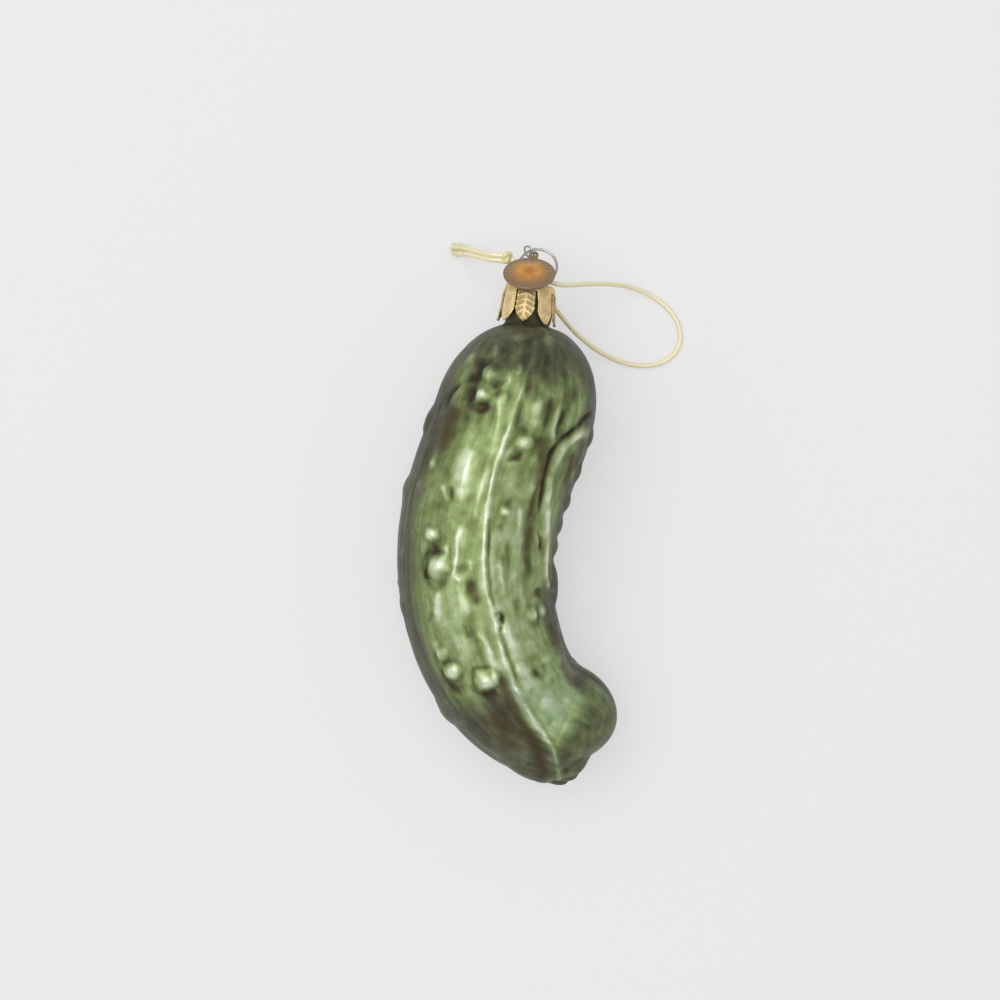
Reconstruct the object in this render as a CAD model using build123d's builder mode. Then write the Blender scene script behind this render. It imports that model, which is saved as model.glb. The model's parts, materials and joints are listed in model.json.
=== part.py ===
"""Blown-glass pickle ornament, lying on its side as it does on a table.

Frame: millimetres, +Z up, the table at Z = 0, +Y along the neck towards the hanger.
Pieces: hollow glass pickle, crown cap, spring-wire hanger, charm with its ring, and a tied cord.
"""
import os
from math import acos, cos, degrees, pi, radians, sin, sqrt, tan

from build123d import *

# Place of the cap's outer face in the frame
cap_top_x = -4.1
cap_top_y = 49.0

# Glass pickle
glass_wall = 0.8
belly_diameter = 34.6
bulb_diameter = 26.0
shoulder_length = 21.6
shoulder_bluntness = 2.2
tip_length = 10.4
tip_bluntness = 2.0
neck_diameter = 9.0
neck_length = 7.6
neck_root = 4.0

# Bends of the pickle's spine, measured aside (+X) and down (-Y) from the middle of the shoulder
shoulder_aside = 1.4
chest_aside, chest_down = 0.5, 17.0
waist_aside, waist_down = -4.6, 42.4
knee_aside, knee_down = -1.0, 67.0
bulb_aside, bulb_down = 13.1, 83.8
tip_aside, tip_down = 27.2, 90.4

# Where the skin gets its sections, as shares of the shoulder, the middle and the tip
shoulder_shares = (0.02, 0.08, 0.2, 0.4, 0.65, 0.85)
middle_shares = (0, 0.15, 0.3, 0.45, 0.6, 0.72, 0.82, 0.91, 1)
tip_shares = (0.18, 0.36, 0.54, 0.7, 0.82, 0.92, 0.985)

# Bumps: distance along the spine, degrees from the top towards +X, radius; each stands this proud
wart_rise = 0.7
warts = [
    (12.5, -28, 3.0), (19.5, -26, 2.8), (18.5, -10, 2.0), (25.5, 16, 2.6), (40.5, 16, 2.2),
    (48.5, -34, 2.4), (53.5, -26, 3.4), (69.5, -38, 2.0), (73.5, -34, 3.0), (77.5, -10, 3.6),
    (67.5, 42, 2.2), (80.5, 42, 2.2), (73.5, 70, 2.0), (83.5, 56, 2.0), (27.5, -84, 3.0),
    (41.5, -84, 3.0), (79.5, -84, 3.0), (18.5, 66, 2.8), (28.5, 64, 2.6), (34.5, 58, 2.2),
    (22.0, 122, 2.6), (36.0, -124, 2.8), (52.0, 118, 2.6), (64.0, -120, 2.4), (84.0, -122, 2.4),
]
nub_inset = 4.9
nub_around = -75.0
nub_radius = 2.9
nub_rise = 1.7

# Crown cap
cap_sheet = 0.3
cap_clearance = 0.3
cap_flare = 0.85
cap_edge_radius = 0.5
cap_seat_gap = 0.1
petal_count = 8
petal_start = -7.0
petal_slit = 0.35
petal_slit_top = 1.4
petal_point = 2.5
petal_overhang = 0.2
wire_room = 0.4

# Spring-wire hanger
wire_diameter = 0.6
leg_spacing = 1.0
leg_straight = 2.0
leg_spread_down = 6.5
leg_length = 13.0
leg_clearance = 0.15
leg_toe_in = 0.6
leg_bend_radius = 1.5
loop_radius = 4.1
loop_aside = 1.1
loop_rise = 4.95
loop_droop = 20.0
loop_corners = 6
throat_radius = 0.6
droop_radius = 0.8
bend_share = 0.97

# Charm and its ring
charm_diameter = 11.3
charm_sheet = 0.5
charm_dome = 0.9
charm_rim = 0.7
charm_hub_diameter = 2.6
charm_hub_rise = 0.1
tab_margin = 0.5
tab_reach = 1.45
charm_yaw = 7.0
charm_swing = 8.5
charm_gap = 0.3
groove_count = 20
groove_radius = 0.22
groove_start_share = 0.3
groove_end_share = 1.05
ring_wire = 0.4
ring_room = 0.35
ring_slack = 0.6
ring_seat_angle = 128.0
ring_turn = 45.0
seat_room = 0.35

# Cord, with its points measured from the middle of the cap's outer face
cord_diameter = 1.1
strand_spacing = 1.2
strand_lead = 1.1
tail_lead = 1.8
cord_bend_share = 0.45
knot_length = 1.9
knot_diameter = 3.0
knot_face_diameter = 2.6
knot_place = (-5.9, 5.85, -3.9)
knot_axis = (0.95, -0.3, 0.05)
loop_points = [
    (-2.9, 4.6, -3.0), (-1.6, 3.8, -2.4), (-0.3, 3.0, -1.5), (1.0, 2.4, -0.5), (2.7, 1.75, 0.5),
    (4.6, 1.2, 0.5), (6.5, 1.05, -0.4), (8.7, 1.5, -2.3), (11.6, 2.4, -5.3), (15.8, 3.5, -9.8),
    (20.8, 4.2, -14.2), (26.2, 3.4, -16.7), (31.2, 0.9, -16.7), (34.5, -3.0, -16.7), (35.2, -7.6, -16.7),
    (32.6, -11.5, -16.7), (27.4, -13.3, -16.7), (21.6, -12.8, -16.1), (16.2, -11.0, -13.9),
    (11.4, -8.2, -11.1), (7.6, -5.0, -8.9), (4.6, -1.9, -7.4), (2.2, 0.6, -6.4), (0.0, 2.6, -5.5),
    (-2.2, 4.2, -4.75),
]
upper_tail_points = [
    (-10.2, 7.5, -4.9), (-12.0, 7.75, -7.0), (-14.3, 8.0, -10.7), (-16.9, 8.35, -14.6), (-19.4, 8.7, -16.7),
]
lower_tail_points = [
    (-10.4, 6.25, -4.95), (-12.0, 6.4, -7.2), (-13.9, 6.6, -10.9), (-15.6, 6.8, -14.6), (-17.2, 6.95, -16.7),
]

# Sizes that follow from the fits
axis_height = belly_diameter / 2
neck_bore_radius = neck_diameter / 2 - glass_wall
cap_top_diameter = neck_diameter + 2 * (cap_clearance + cap_sheet)
cap_tip_diameter = cap_top_diameter + 2 * cap_flare
cap_height = neck_length + cap_seat_gap + cap_sheet + petal_overhang
cap_hole_diameter = leg_spacing + wire_diameter + 2 * wire_room
charm_hole_diameter = ring_wire + 2 * ring_room
charm_tab_diameter = charm_hole_diameter + 2 * tab_margin
charm_hole_reach = charm_diameter / 2 + tab_reach
seat_reach = charm_tab_diameter / 2 + seat_room + wire_diameter / 2
ring_radius = (seat_reach + wire_diameter / 2 + ring_slack + ring_wire / 2) / 2
cap_top = Vector(cap_top_x, cap_top_y, axis_height)
neck_rim_y = cap_top_y - cap_sheet - cap_seat_gap
shoulder_y = neck_rim_y - neck_length
up = Vector(0, 0, 1)


def spine_point(aside, down):
    return (cap_top_x + aside, shoulder_y - down)


with BuildLine() as spine:
    Spline(
        spine_point(shoulder_aside, 0),
        spine_point(chest_aside, chest_down),
        spine_point(waist_aside, waist_down),
        spine_point(knee_aside, knee_down),
        spine_point(bulb_aside, bulb_down),
        spine_point(tip_aside, tip_down),
        tangents=[(0, -1), (1, -1)],
    )
spine_edge = spine.edge()
spine_length = spine_edge.length
bulb_start = spine_length - tip_length


def waist(along):
    """Half width of the pickle before its ends round off: full at the belly, easing to the bulb."""
    share = min(max((along - shoulder_length) / (bulb_start - shoulder_length), 0), 1)
    return (belly_diameter - (belly_diameter - bulb_diameter) * share**3) / 2


def girth(along, inset):
    """Radius of the skin that lies this far inside the outer one."""
    full = waist(along) - inset
    if along < shoulder_length:
        rounding = ((shoulder_length - along) / (shoulder_length - inset)) ** shoulder_bluntness
        return full * (1 - rounding) ** (1 / shoulder_bluntness)
    if along > bulb_start:
        rounding = ((along - bulb_start) / (tip_length - inset)) ** tip_bluntness
        return full * (1 - rounding) ** (1 / tip_bluntness)
    return full


def section_plane(along):
    """Upright plane across the spine: its X is aside and its Y is up."""
    place = spine_edge.position_at(along / spine_length)
    heading = spine_edge.tangent_at(along / spine_length)
    return Plane(origin=(place.X, place.Y, waist(along)), x_dir=up.cross(heading), z_dir=heading)


def skin_point(along, around, lift):
    """Point on the outer skin, turned from the top towards +X by around degrees and lifted off it."""
    reach = girth(along, 0) + lift
    return section_plane(along).from_local_coords(
        Vector(reach * sin(radians(around)), reach * cos(radians(around)), 0)
    )


def stations(inset):
    """Distances along the spine at which the skin gets a section, closer together at the round ends."""
    shoulder = [inset + share * (shoulder_length - inset) for share in shoulder_shares]
    middle = [shoulder_length + share * (bulb_start - shoulder_length) for share in middle_shares]
    tip = [bulb_start + share * (tip_length - inset) for share in tip_shares]
    return shoulder + middle + tip


def bump(along, around, size, sink):
    """Round bump on the skin: a ball of this radius sunk this far below it, its seam on the inner side."""
    middle = skin_point(along, around, -sink)
    inward = middle - skin_point(along, around, 0)
    with Locations(Plane(origin=middle, x_dir=inward, z_dir=section_plane(along).z_dir)):
        Sphere(size)


with BuildPart() as glass_pickle:
    for station in stations(0):
        with BuildSketch(section_plane(station)):
            Circle(girth(station, 0))
    loft()
    with BuildSketch(Plane(origin=(cap_top_x, neck_rim_y, axis_height), z_dir=(0, -1, 0))):
        Circle(neck_diameter / 2)
    extrude(amount=neck_length + neck_root)
    for along, around, size in warts:
        bump(along, around, size, size - wart_rise)
    bump(spine_length - nub_inset, nub_around, nub_radius, nub_radius - nub_rise)
    for station in stations(glass_wall):
        with BuildSketch(section_plane(station)):
            Circle(girth(station, glass_wall))
    loft(mode=Mode.SUBTRACT)
    with BuildSketch(Plane(origin=(cap_top_x, neck_rim_y, axis_height), z_dir=(0, -1, 0))):
        Circle(neck_bore_radius)
    extrude(amount=neck_length + neck_root, mode=Mode.SUBTRACT)

# Crown cap: a thin flared cup over the neck, slit into pointed petals, with one hole for the wire
cap_axis = Axis(cap_top, (0, 1, 0))
petal_pitch = 360 / petal_count
petal_straight = cap_height - petal_point
tip_half_width = cap_tip_diameter / 2 * sin(radians(petal_pitch / 2))


def gap_plane(turn):
    """Plane facing out of the cap at this turn from the top towards +X, with its Y along the neck."""
    outward = Vector(sin(radians(turn)), 0, cos(radians(turn)))
    return Plane(origin=cap_top, x_dir=(outward.Z, 0, -outward.X), z_dir=outward)


with BuildPart() as crown_cap:
    with BuildSketch(Plane(origin=cap_top, x_dir=(1, 0, 0), z_dir=(0, 0, 1))):
        with BuildLine():
            Polyline(
                (0, 0),
                (cap_top_diameter / 2, 0),
                (cap_tip_diameter / 2, -cap_height),
                (cap_tip_diameter / 2 - cap_sheet, -cap_height),
                (cap_top_diameter / 2 - cap_sheet, -cap_sheet),
                (0, -cap_sheet),
                close=True,
            )
        make_face()
    revolve(axis=cap_axis)
    top_edge = crown_cap.edges().filter_by(GeomType.CIRCLE).group_by(Axis.Y)[-1].sort_by(SortBy.RADIUS)[-1]
    fillet(top_edge, cap_edge_radius)
    for petal in range(petal_count):
        with BuildSketch(gap_plane(petal_start + (petal + 0.5) * petal_pitch)):
            with BuildLine():
                left_side = Line((-petal_slit / 2, -petal_slit_top), (-petal_slit / 2, -petal_straight))
                right_side = Line((petal_slit / 2, -petal_slit_top), (petal_slit / 2, -petal_straight))
                Line(left_side @ 0, right_side @ 0)
                left_edge = TangentArc(left_side @ 1, (-tip_half_width, -cap_height), tangent=(0, -1))
                right_edge = TangentArc(right_side @ 1, (tip_half_width, -cap_height), tangent=(0, -1))
                Line(left_edge @ 1, right_edge @ 1)
            make_face()
        extrude(amount=cap_tip_diameter, mode=Mode.SUBTRACT)
    with BuildSketch(Plane(origin=cap_top, z_dir=(0, -1, 0))):
        Circle(cap_hole_diameter / 2)
    extrude(amount=2 * cap_sheet, mode=Mode.SUBTRACT)

# Hanger: two sprung legs in the neck, and a round loop that leans aside and droops
half_spacing = leg_spacing / 2
leg_reach = neck_bore_radius - leg_clearance - wire_diameter / 2
loop_to_throat = loop_radius + throat_radius
left_turn = acos((loop_aside + half_spacing + throat_radius) / loop_to_throat)
right_turn = acos((half_spacing + throat_radius - loop_aside) / loop_to_throat)
left_corner = loop_rise - loop_to_throat * sin(left_turn) + throat_radius * tan(left_turn / 2)
right_corner = loop_rise - loop_to_throat * sin(right_turn) + throat_radius * tan(right_turn / 2)
droop = radians(loop_droop)


def loop_place(aside, rise):
    """Point in the loop's own drooping plane."""
    return cap_top + Vector(aside, rise * cos(droop), -rise * sin(droop))


def round_loop(turn, radius):
    return loop_place(loop_aside + radius * cos(turn), loop_rise + radius * sin(turn))


corner_step = (radians(180) + left_turn + right_turn) / loop_corners
corner_radius = loop_radius / cos(corner_step / 2)
first_corner = radians(180) + left_turn - corner_step / 2
corners = [round_loop(first_corner - corner_step * i, corner_radius) for i in range(loop_corners)]
left_leg = [
    cap_top + Vector(-leg_reach + leg_toe_in, -leg_length, 0),
    cap_top + Vector(-leg_reach, -leg_spread_down, 0),
    cap_top + Vector(-half_spacing, -leg_straight, 0),
    cap_top + Vector(-half_spacing, 0, 0),
    loop_place(-half_spacing, left_corner),
]
right_leg = [
    loop_place(half_spacing, right_corner),
    cap_top + Vector(half_spacing, 0, 0),
    cap_top + Vector(half_spacing, -leg_straight, 0),
    cap_top + Vector(leg_reach, -leg_spread_down, 0),
    cap_top + Vector(leg_reach - leg_toe_in, -leg_length, 0),
]
leg_bends = [leg_bend_radius, leg_bend_radius, droop_radius, throat_radius * bend_share]
wire_bends = leg_bends + [loop_radius * bend_share] * loop_corners + leg_bends[::-1]

with BuildPart() as hanger_wire:
    with BuildLine() as wire_path:
        FilletPolyline(*left_leg, *corners, *right_leg, radius=wire_bends)
    with BuildSketch(Plane(origin=wire_path.line @ 0, z_dir=wire_path.line % 0)):
        Circle(wire_diameter / 2)
    sweep(path=wire_path.wire())

# Charm: it hangs from the loop by its ring and leans back on the cap's edge
seat_turn = radians(ring_seat_angle)
ring_seat = round_loop(seat_turn, loop_radius)
seat_heading = Vector(sin(seat_turn), -cos(seat_turn) * cos(droop), cos(seat_turn) * sin(droop))
charm_aside = Vector(cos(radians(charm_yaw)), sin(radians(charm_yaw)), 0)
charm_ahead = Vector(-sin(radians(charm_yaw)), cos(radians(charm_yaw)), 0)


def charm_stand(tilt):
    """Directions and hole of the charm at this tilt: face normal, towards the tab, hole to ring, hole."""
    face = charm_ahead * sin(tilt) + up * cos(tilt)
    tabward = charm_ahead * cos(tilt) - up * sin(tilt)
    inward = tabward * sin(radians(ring_turn)) - charm_aside * cos(radians(ring_turn))
    return face, tabward, inward, ring_seat - inward * seat_reach


def lean_room(tilt):
    """Room between the charm's back and the cap's edge, less the gap they keep."""
    face, tabward, inward, hole = charm_stand(tilt)
    edge = cap_top_diameter / 2 * sqrt(face.X**2 + face.Z**2)
    return face.dot(hole - cap_top) - edge - charm_sheet / 2 - charm_gap


flat_tilt, steep_tilt = radians(10), radians(80)
for halving in range(40):
    charm_tilt = (flat_tilt + steep_tilt) / 2
    if lean_room(charm_tilt) > 0:
        steep_tilt = charm_tilt
    else:
        flat_tilt = charm_tilt
charm_face, charm_tabward, ring_inward, charm_hole = charm_stand(charm_tilt)
swung = radians(charm_swing)
charm_up = charm_tabward * cos(swung) + charm_aside * sin(swung)
charm_across = charm_aside * cos(swung) - charm_tabward * sin(swung)
charm_middle = charm_hole - charm_up * charm_hole_reach
charm_plane = Plane(origin=charm_middle, x_dir=charm_across, z_dir=charm_face)
dome_edge = charm_diameter / 2 - charm_rim
dome_half = dome_edge * sqrt(0.5)
dome_top = charm_middle + charm_face * (charm_sheet / 2 + charm_dome)

with BuildPart() as charm_disc:
    with BuildSketch(Plane(origin=charm_middle, x_dir=charm_across, z_dir=charm_across.cross(charm_face))):
        with BuildLine():
            dome = ThreePointArc(
                (0, charm_sheet / 2 + charm_dome),
                (dome_half, charm_sheet / 2 + charm_dome / 2),
                (dome_edge, charm_sheet / 2),
            )
            Polyline(
                dome @ 1,
                (charm_diameter / 2, charm_sheet / 2),
                (charm_diameter / 2, -charm_sheet / 2),
                (0, -charm_sheet / 2),
                dome @ 0,
            )
        make_face()
    revolve(axis=Axis(charm_middle, charm_face))
    for groove in range(groove_count):
        turn = radians(360 / groove_count * (groove + 0.5))
        rim = charm_plane.from_local_coords((dome_edge * cos(turn), dome_edge * sin(turn), charm_sheet / 2))
        slope = rim - dome_top
        with BuildSketch(Plane(origin=dome_top + slope * groove_start_share, z_dir=slope)):
            Circle(groove_radius)
        extrude(amount=slope.length * (groove_end_share - groove_start_share), mode=Mode.SUBTRACT)
    with BuildSketch(charm_plane.offset(-charm_sheet / 2)):
        Circle(charm_hub_diameter / 2)
    extrude(amount=charm_sheet + charm_dome + charm_hub_rise)
    with BuildSketch(charm_plane.offset(-charm_sheet / 2)):
        with Locations((0, charm_hole_reach)):
            Circle(charm_tab_diameter / 2)
        with Locations((0, (charm_hole_reach + dome_edge) / 2)):
            Rectangle(charm_tab_diameter, charm_hole_reach - dome_edge)
    extrude(amount=charm_sheet)
    with BuildSketch(charm_plane.offset(-charm_sheet)):
        with Locations((0, charm_hole_reach)):
            Circle(charm_hole_diameter / 2)
    extrude(amount=2 * charm_sheet, mode=Mode.SUBTRACT)

ring_plane = Plane(
    origin=charm_hole + ring_inward * ring_radius, x_dir=ring_inward, z_dir=ring_inward.cross(charm_face)
)
with BuildPart(ring_plane) as charm_ring:
    Torus(ring_radius, ring_wire / 2)

# Cord: two strands come out of one face of the knot and join in a loop, two tails leave the other
strand_way = Vector(*knot_axis).normalized()
level_side = up.cross(strand_way).normalized()
tail_side = level_side * (strand_spacing / 2)
strand_side = strand_way.cross(level_side) * (strand_spacing / 2)
knot_middle = cap_top + Vector(*knot_place)
strand_face = knot_middle + strand_way * (knot_length / 2)
tail_face = knot_middle - strand_way * (knot_length / 2)
strand_exit = strand_way * strand_lead
tail_exit = strand_way * tail_lead
half_knot = knot_length / 2


def from_cap(points):
    return [cap_top + Vector(*point) for point in points]


loop_route = [
    strand_face + strand_side,
    strand_face + strand_side + strand_exit,
    *from_cap(loop_points),
    strand_face - strand_side + strand_exit,
    strand_face - strand_side,
]
upper_tail_route = [tail_face + tail_side, tail_face + tail_side - tail_exit, *from_cap(upper_tail_points)]
lower_tail_route = [tail_face - tail_side, tail_face - tail_side - tail_exit, *from_cap(lower_tail_points)]


def bend_radii(route):
    """Largest arc that each corner's two runs leave room for."""
    radii = []
    for before, corner, after in zip(route, route[1:], route[2:]):
        half_turn = radians((corner - before).get_angle(after - corner)) / 2
        shorter = min((corner - before).length, (after - corner).length)
        radii.append(cord_bend_share * shorter / tan(half_turn))
    return radii


def report_cord(name, path, part, radii):
    length = path.wire().length
    section = pi * cord_diameter**2 / 4
    print("%s: length %.1f mm, least bend %.2f mm" % (name, length, min(radii)))
    print("  bends", " ".join("%.1f" % radius for radius in radii))
    print("  volume %.2f mm3, section times length %.2f mm3" % (part.volume, section * length))


with BuildPart() as cord_knot:
    with BuildSketch(Plane(origin=knot_middle, x_dir=level_side, z_dir=level_side.cross(strand_way))):
        with BuildLine():
            barrel = ThreePointArc(
                (knot_face_diameter / 2, -half_knot),
                (knot_diameter / 2, 0),
                (knot_face_diameter / 2, half_knot),
            )
            Polyline(barrel @ 1, (0, half_knot), (0, -half_knot), barrel @ 0)
        make_face()
    revolve(axis=Axis(knot_middle, strand_way))

with BuildPart() as cord_loop:
    with BuildLine() as loop_path:
        FilletPolyline(*loop_route, radius=bend_radii(loop_route))
    with BuildSketch(Plane(origin=loop_path.line @ 0, z_dir=loop_path.line % 0)):
        Circle(cord_diameter / 2)
    sweep(path=loop_path.wire())
report_cord("cord loop", loop_path, cord_loop.part, bend_radii(loop_route))

with BuildPart() as cord_tail_upper:
    with BuildLine() as upper_path:
        FilletPolyline(*upper_tail_route, radius=bend_radii(upper_tail_route))
    with BuildSketch(Plane(origin=upper_path.line @ 0, z_dir=upper_path.line % 0)):
        Circle(cord_diameter / 2)
    sweep(path=upper_path.wire())
report_cord("upper tail", upper_path, cord_tail_upper.part, bend_radii(upper_tail_route))

with BuildPart() as cord_tail_lower:
    with BuildLine() as lower_path:
        FilletPolyline(*lower_tail_route, radius=bend_radii(lower_tail_route))
    with BuildSketch(Plane(origin=lower_path.line @ 0, z_dir=lower_path.line % 0)):
        Circle(cord_diameter / 2)
    sweep(path=lower_path.wire())
report_cord("lower tail", lower_path, cord_tail_lower.part, bend_radii(lower_tail_route))

print("spine length %.1f, charm tilt %.1f degrees" % (spine_length, degrees(charm_tilt)))
print("ring seat", ring_seat, "along", seat_heading)
print("charm hole", charm_hole, "along", charm_face)

pieces = {
    "glass_pickle": glass_pickle,
    "crown_cap": crown_cap,
    "hanger_wire": hanger_wire,
    "charm_ring": charm_ring,
    "charm_disc": charm_disc,
    "cord_loop": cord_loop,
    "cord_knot": cord_knot,
    "cord_tail_upper": cord_tail_upper,
    "cord_tail_lower": cord_tail_lower,
}
os.makedirs("parts", exist_ok=True)
for name, piece in pieces.items():
    piece.part.label = name
    export_step(piece.part, f"parts/{name}.step")
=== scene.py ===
import json
from math import cos, pi, radians, sin

import bpy
import numpy as np
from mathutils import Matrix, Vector, noise


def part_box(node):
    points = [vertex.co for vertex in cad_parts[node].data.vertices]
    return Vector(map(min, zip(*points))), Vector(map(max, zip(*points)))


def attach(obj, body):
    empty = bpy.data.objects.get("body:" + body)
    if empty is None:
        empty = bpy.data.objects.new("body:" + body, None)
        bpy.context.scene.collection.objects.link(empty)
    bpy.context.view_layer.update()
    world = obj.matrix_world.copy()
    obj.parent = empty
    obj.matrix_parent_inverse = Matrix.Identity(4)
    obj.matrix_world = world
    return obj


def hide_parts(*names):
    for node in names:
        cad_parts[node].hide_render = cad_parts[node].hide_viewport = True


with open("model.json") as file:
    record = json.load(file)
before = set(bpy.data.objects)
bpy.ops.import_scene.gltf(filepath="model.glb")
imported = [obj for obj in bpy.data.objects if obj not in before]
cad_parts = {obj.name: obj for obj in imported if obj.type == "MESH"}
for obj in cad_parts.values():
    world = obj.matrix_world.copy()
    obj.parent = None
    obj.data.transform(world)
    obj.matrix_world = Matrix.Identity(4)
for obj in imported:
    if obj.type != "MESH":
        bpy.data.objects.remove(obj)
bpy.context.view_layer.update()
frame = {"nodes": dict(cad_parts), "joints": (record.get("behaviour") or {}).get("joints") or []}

mm = 0.001
tiny = 1e-6
scene = bpy.context.scene
scene.view_settings.view_transform = "Standard"
joints = {joint["name"]: joint for joint in frame["joints"]}
capLow, capHigh = (np.array(corner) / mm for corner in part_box("crown_cap"))
capTop = np.array([(capLow[0] + capHigh[0]) / 2, capHigh[1], (capLow[2] + capHigh[2]) / 2])
upward = np.array([0.0, 0.0, 1.0])


def unit(vector):
    vector = np.array(vector, float)
    return vector / np.linalg.norm(vector)


def smoothStep(low, high, value):
    share = np.clip((value - low) / (high - low), 0, 1)
    return share * share * (3 - 2 * share)


def paint(red, green, blue):
    # a colour as a picture shows it, 0 to 255, for a shader's socket
    parts = [part / 255 for part in (red, green, blue)]
    return [part / 12.92 if part <= 0.04045 else ((part + 0.055) / 1.055) ** 2.4 for part in parts] + [1.0]


def addMesh(name, points, faces, body, slot):
    # points in millimetres; the piece rides on a CAD body
    mesh = bpy.data.meshes.new(name)
    mesh.from_pydata((np.asarray(points, float) * mm).tolist(), [], [list(map(int, face)) for face in faces])
    mesh.polygons.foreach_set("use_smooth", [True] * len(mesh.polygons))
    mesh.update()
    piece = bpy.data.objects.new(name, mesh)
    scene.collection.objects.link(piece)
    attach(piece, body)
    return piece


def gridFaces(rows, columns, start=0, flip=False):
    # quads between the rows of a grid that is closed round its columns
    faces = []
    for row in range(rows - 1):
        here, below = start + row * columns, start + (row + 1) * columns
        for column in range(columns):
            after = (column + 1) % columns
            faces.append((here + column, here + after, below + after, below + column))
    return [face[::-1] for face in faces] if flip else faces


def fanFaces(middle, ring, columns, flip=False):
    # triangles from a middle point to the points of a ring, given by its first
    faces = [(middle, ring + column, ring + (column + 1) % columns) for column in range(columns)]
    return [face[::-1] for face in faces] if flip else faces


def farAlong(line):
    # how far along the line each of its points is
    return np.concatenate([[0], np.cumsum(np.linalg.norm(np.diff(line, axis=0), axis=1))])


def addValues(piece, name, values, kind="FLOAT"):
    layer = piece.data.attributes.new(name, kind, "POINT")
    layer.data.foreach_set("value" if kind == "FLOAT" else "vector", np.asarray(values, np.float32).ravel())


def splineThrough(points, startSlope=None, endSlope=None, perRun=8):
    # smooth line through the points, with these slopes at its two ends
    points = np.array(points, float)
    runs = np.diff(points, axis=0)
    lengths = np.linalg.norm(runs, axis=1)
    slopes = runs / lengths[:, None]
    known = np.zeros_like(points)
    known[0] = slopes[0] if startSlope is None else startSlope
    known[-1] = slopes[-1] if endSlope is None else endSlope
    system = np.eye(len(points))
    for i in range(1, len(points) - 1):
        before, after = lengths[i - 1], lengths[i]
        system[i, i - 1:i + 2] = after, 2 * (before + after), before
        known[i] = 3 * (after * slopes[i - 1] + before * slopes[i])
    slope = np.linalg.solve(system, known)
    t = np.linspace(0, 1, perRun, endpoint=False)[:, None]
    line = []
    for i, length in enumerate(lengths):
        line.append(
            (2 * t**3 - 3 * t**2 + 1) * points[i] + (t**3 - 2 * t**2 + t) * slope[i] * length
            + (3 * t**2 - 2 * t**3) * points[i + 1] + (t**3 - t**2) * slope[i + 1] * length
        )
    return np.vstack(line + [points[-1:]])


# Camera: straight above the table, turned a little against the neck
cameraView = dict(place=(-5.03, 2.10, 467.3), turn=7.0, lens=74.65, sensor=36.0, clip=0.01)
camera = bpy.data.objects.new("camera", bpy.data.cameras.new("camera"))
camera.location = [value * mm for value in cameraView["place"]]
camera.rotation_euler = (0, 0, radians(cameraView["turn"]))
camera.data.lens, camera.data.sensor_width = cameraView["lens"], cameraView["sensor"]
camera.data.clip_start = cameraView["clip"]
scene.collection.objects.link(camera)
scene.camera = camera
print("camera set")

# Cord: points from the middle of the cap's outer face, the loop's as the part's source has them
cord = dict(
    diameter=1.1,
    strandSpacing=1.2,
    strandLead=1.1,
    tailLead=1.8,
    tailDrop=(0.1, -1.0, 0.0),  # the tails leave the knot below its middle
    dropInside=0.4,  # of that drop, at the knot's face
    knotPlace=(-5.9, 5.85, -3.9),
    knotAxis=(0.95, -0.3, 0.05),
    knotLength=1.9,
    loop=[
        (-2.9, 4.6, -3.0), (-1.6, 3.8, -2.4), (-0.3, 3.0, -1.5), (1.0, 2.4, -0.5), (2.7, 1.75, 0.5),
        (4.6, 1.2, 0.5), (6.5, 1.05, -0.4), (8.7, 1.5, -2.3), (11.6, 2.4, -5.3), (15.8, 3.5, -9.8),
        (20.8, 4.2, -14.2), (26.2, 3.4, -16.7), (31.2, 0.9, -16.7), (34.5, -3.0, -16.7), (35.2, -7.6, -16.7),
        (32.6, -11.5, -16.7), (27.4, -13.3, -16.7), (21.6, -12.8, -16.1), (16.2, -11.0, -13.9),
        (11.4, -8.2, -11.1), (7.6, -5.0, -8.9), (4.6, -1.9, -7.4), (2.2, 0.6, -6.4), (0.0, 2.6, -5.5),
        (-2.2, 4.2, -4.75),
    ],
    upperTail=[
        (-10.0, 6.3, -4.9), (-11.9, 6.75, -7.0), (-14.2, 7.55, -10.7), (-16.4, 8.1, -14.6),
        (-18.4, 8.3, -16.7),
    ],
    lowerTail=[
        (-10.2, 5.2, -4.95), (-12.0, 5.65, -7.1), (-14.2, 6.43, -10.8), (-16.2, 6.98, -14.6),
        (-17.9, 7.15, -16.7),
    ],
    sides=20,
    step=0.14,  # distance between the tube's rings
    plies=3,
    plyPitch=2.4,
    plyDepth=0.07,  # of the radius
)
strandWay = unit(cord["knotAxis"])
levelSide = unit(np.cross(upward, strandWay))
strandSide = np.cross(strandWay, levelSide) * cord["strandSpacing"] / 2
tailSide = levelSide * cord["strandSpacing"] / 2
knotMiddle = capTop + cord["knotPlace"]
strandFace = knotMiddle + strandWay * cord["knotLength"] / 2
tailFace = knotMiddle - strandWay * cord["knotLength"] / 2
strandExit = strandWay * cord["strandLead"]
tailExit = strandWay * cord["tailLead"]
loopRoute = [
    strandFace + strandSide,
    strandFace + strandSide + strandExit,
    *(capTop + point for point in np.array(cord["loop"])),
    strandFace - strandSide + strandExit,
    strandFace - strandSide,
]
tailDrop = np.array(cord["tailDrop"])
tailStart, tailOut = tailFace + tailDrop * cord["dropInside"], tailFace + tailDrop - tailExit
upperRoute = [tailStart + tailSide, tailOut + tailSide, *(capTop + np.array(cord["upperTail"]))]
lowerRoute = [tailStart - tailSide, tailOut - tailSide, *(capTop + np.array(cord["lowerTail"]))]


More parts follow.
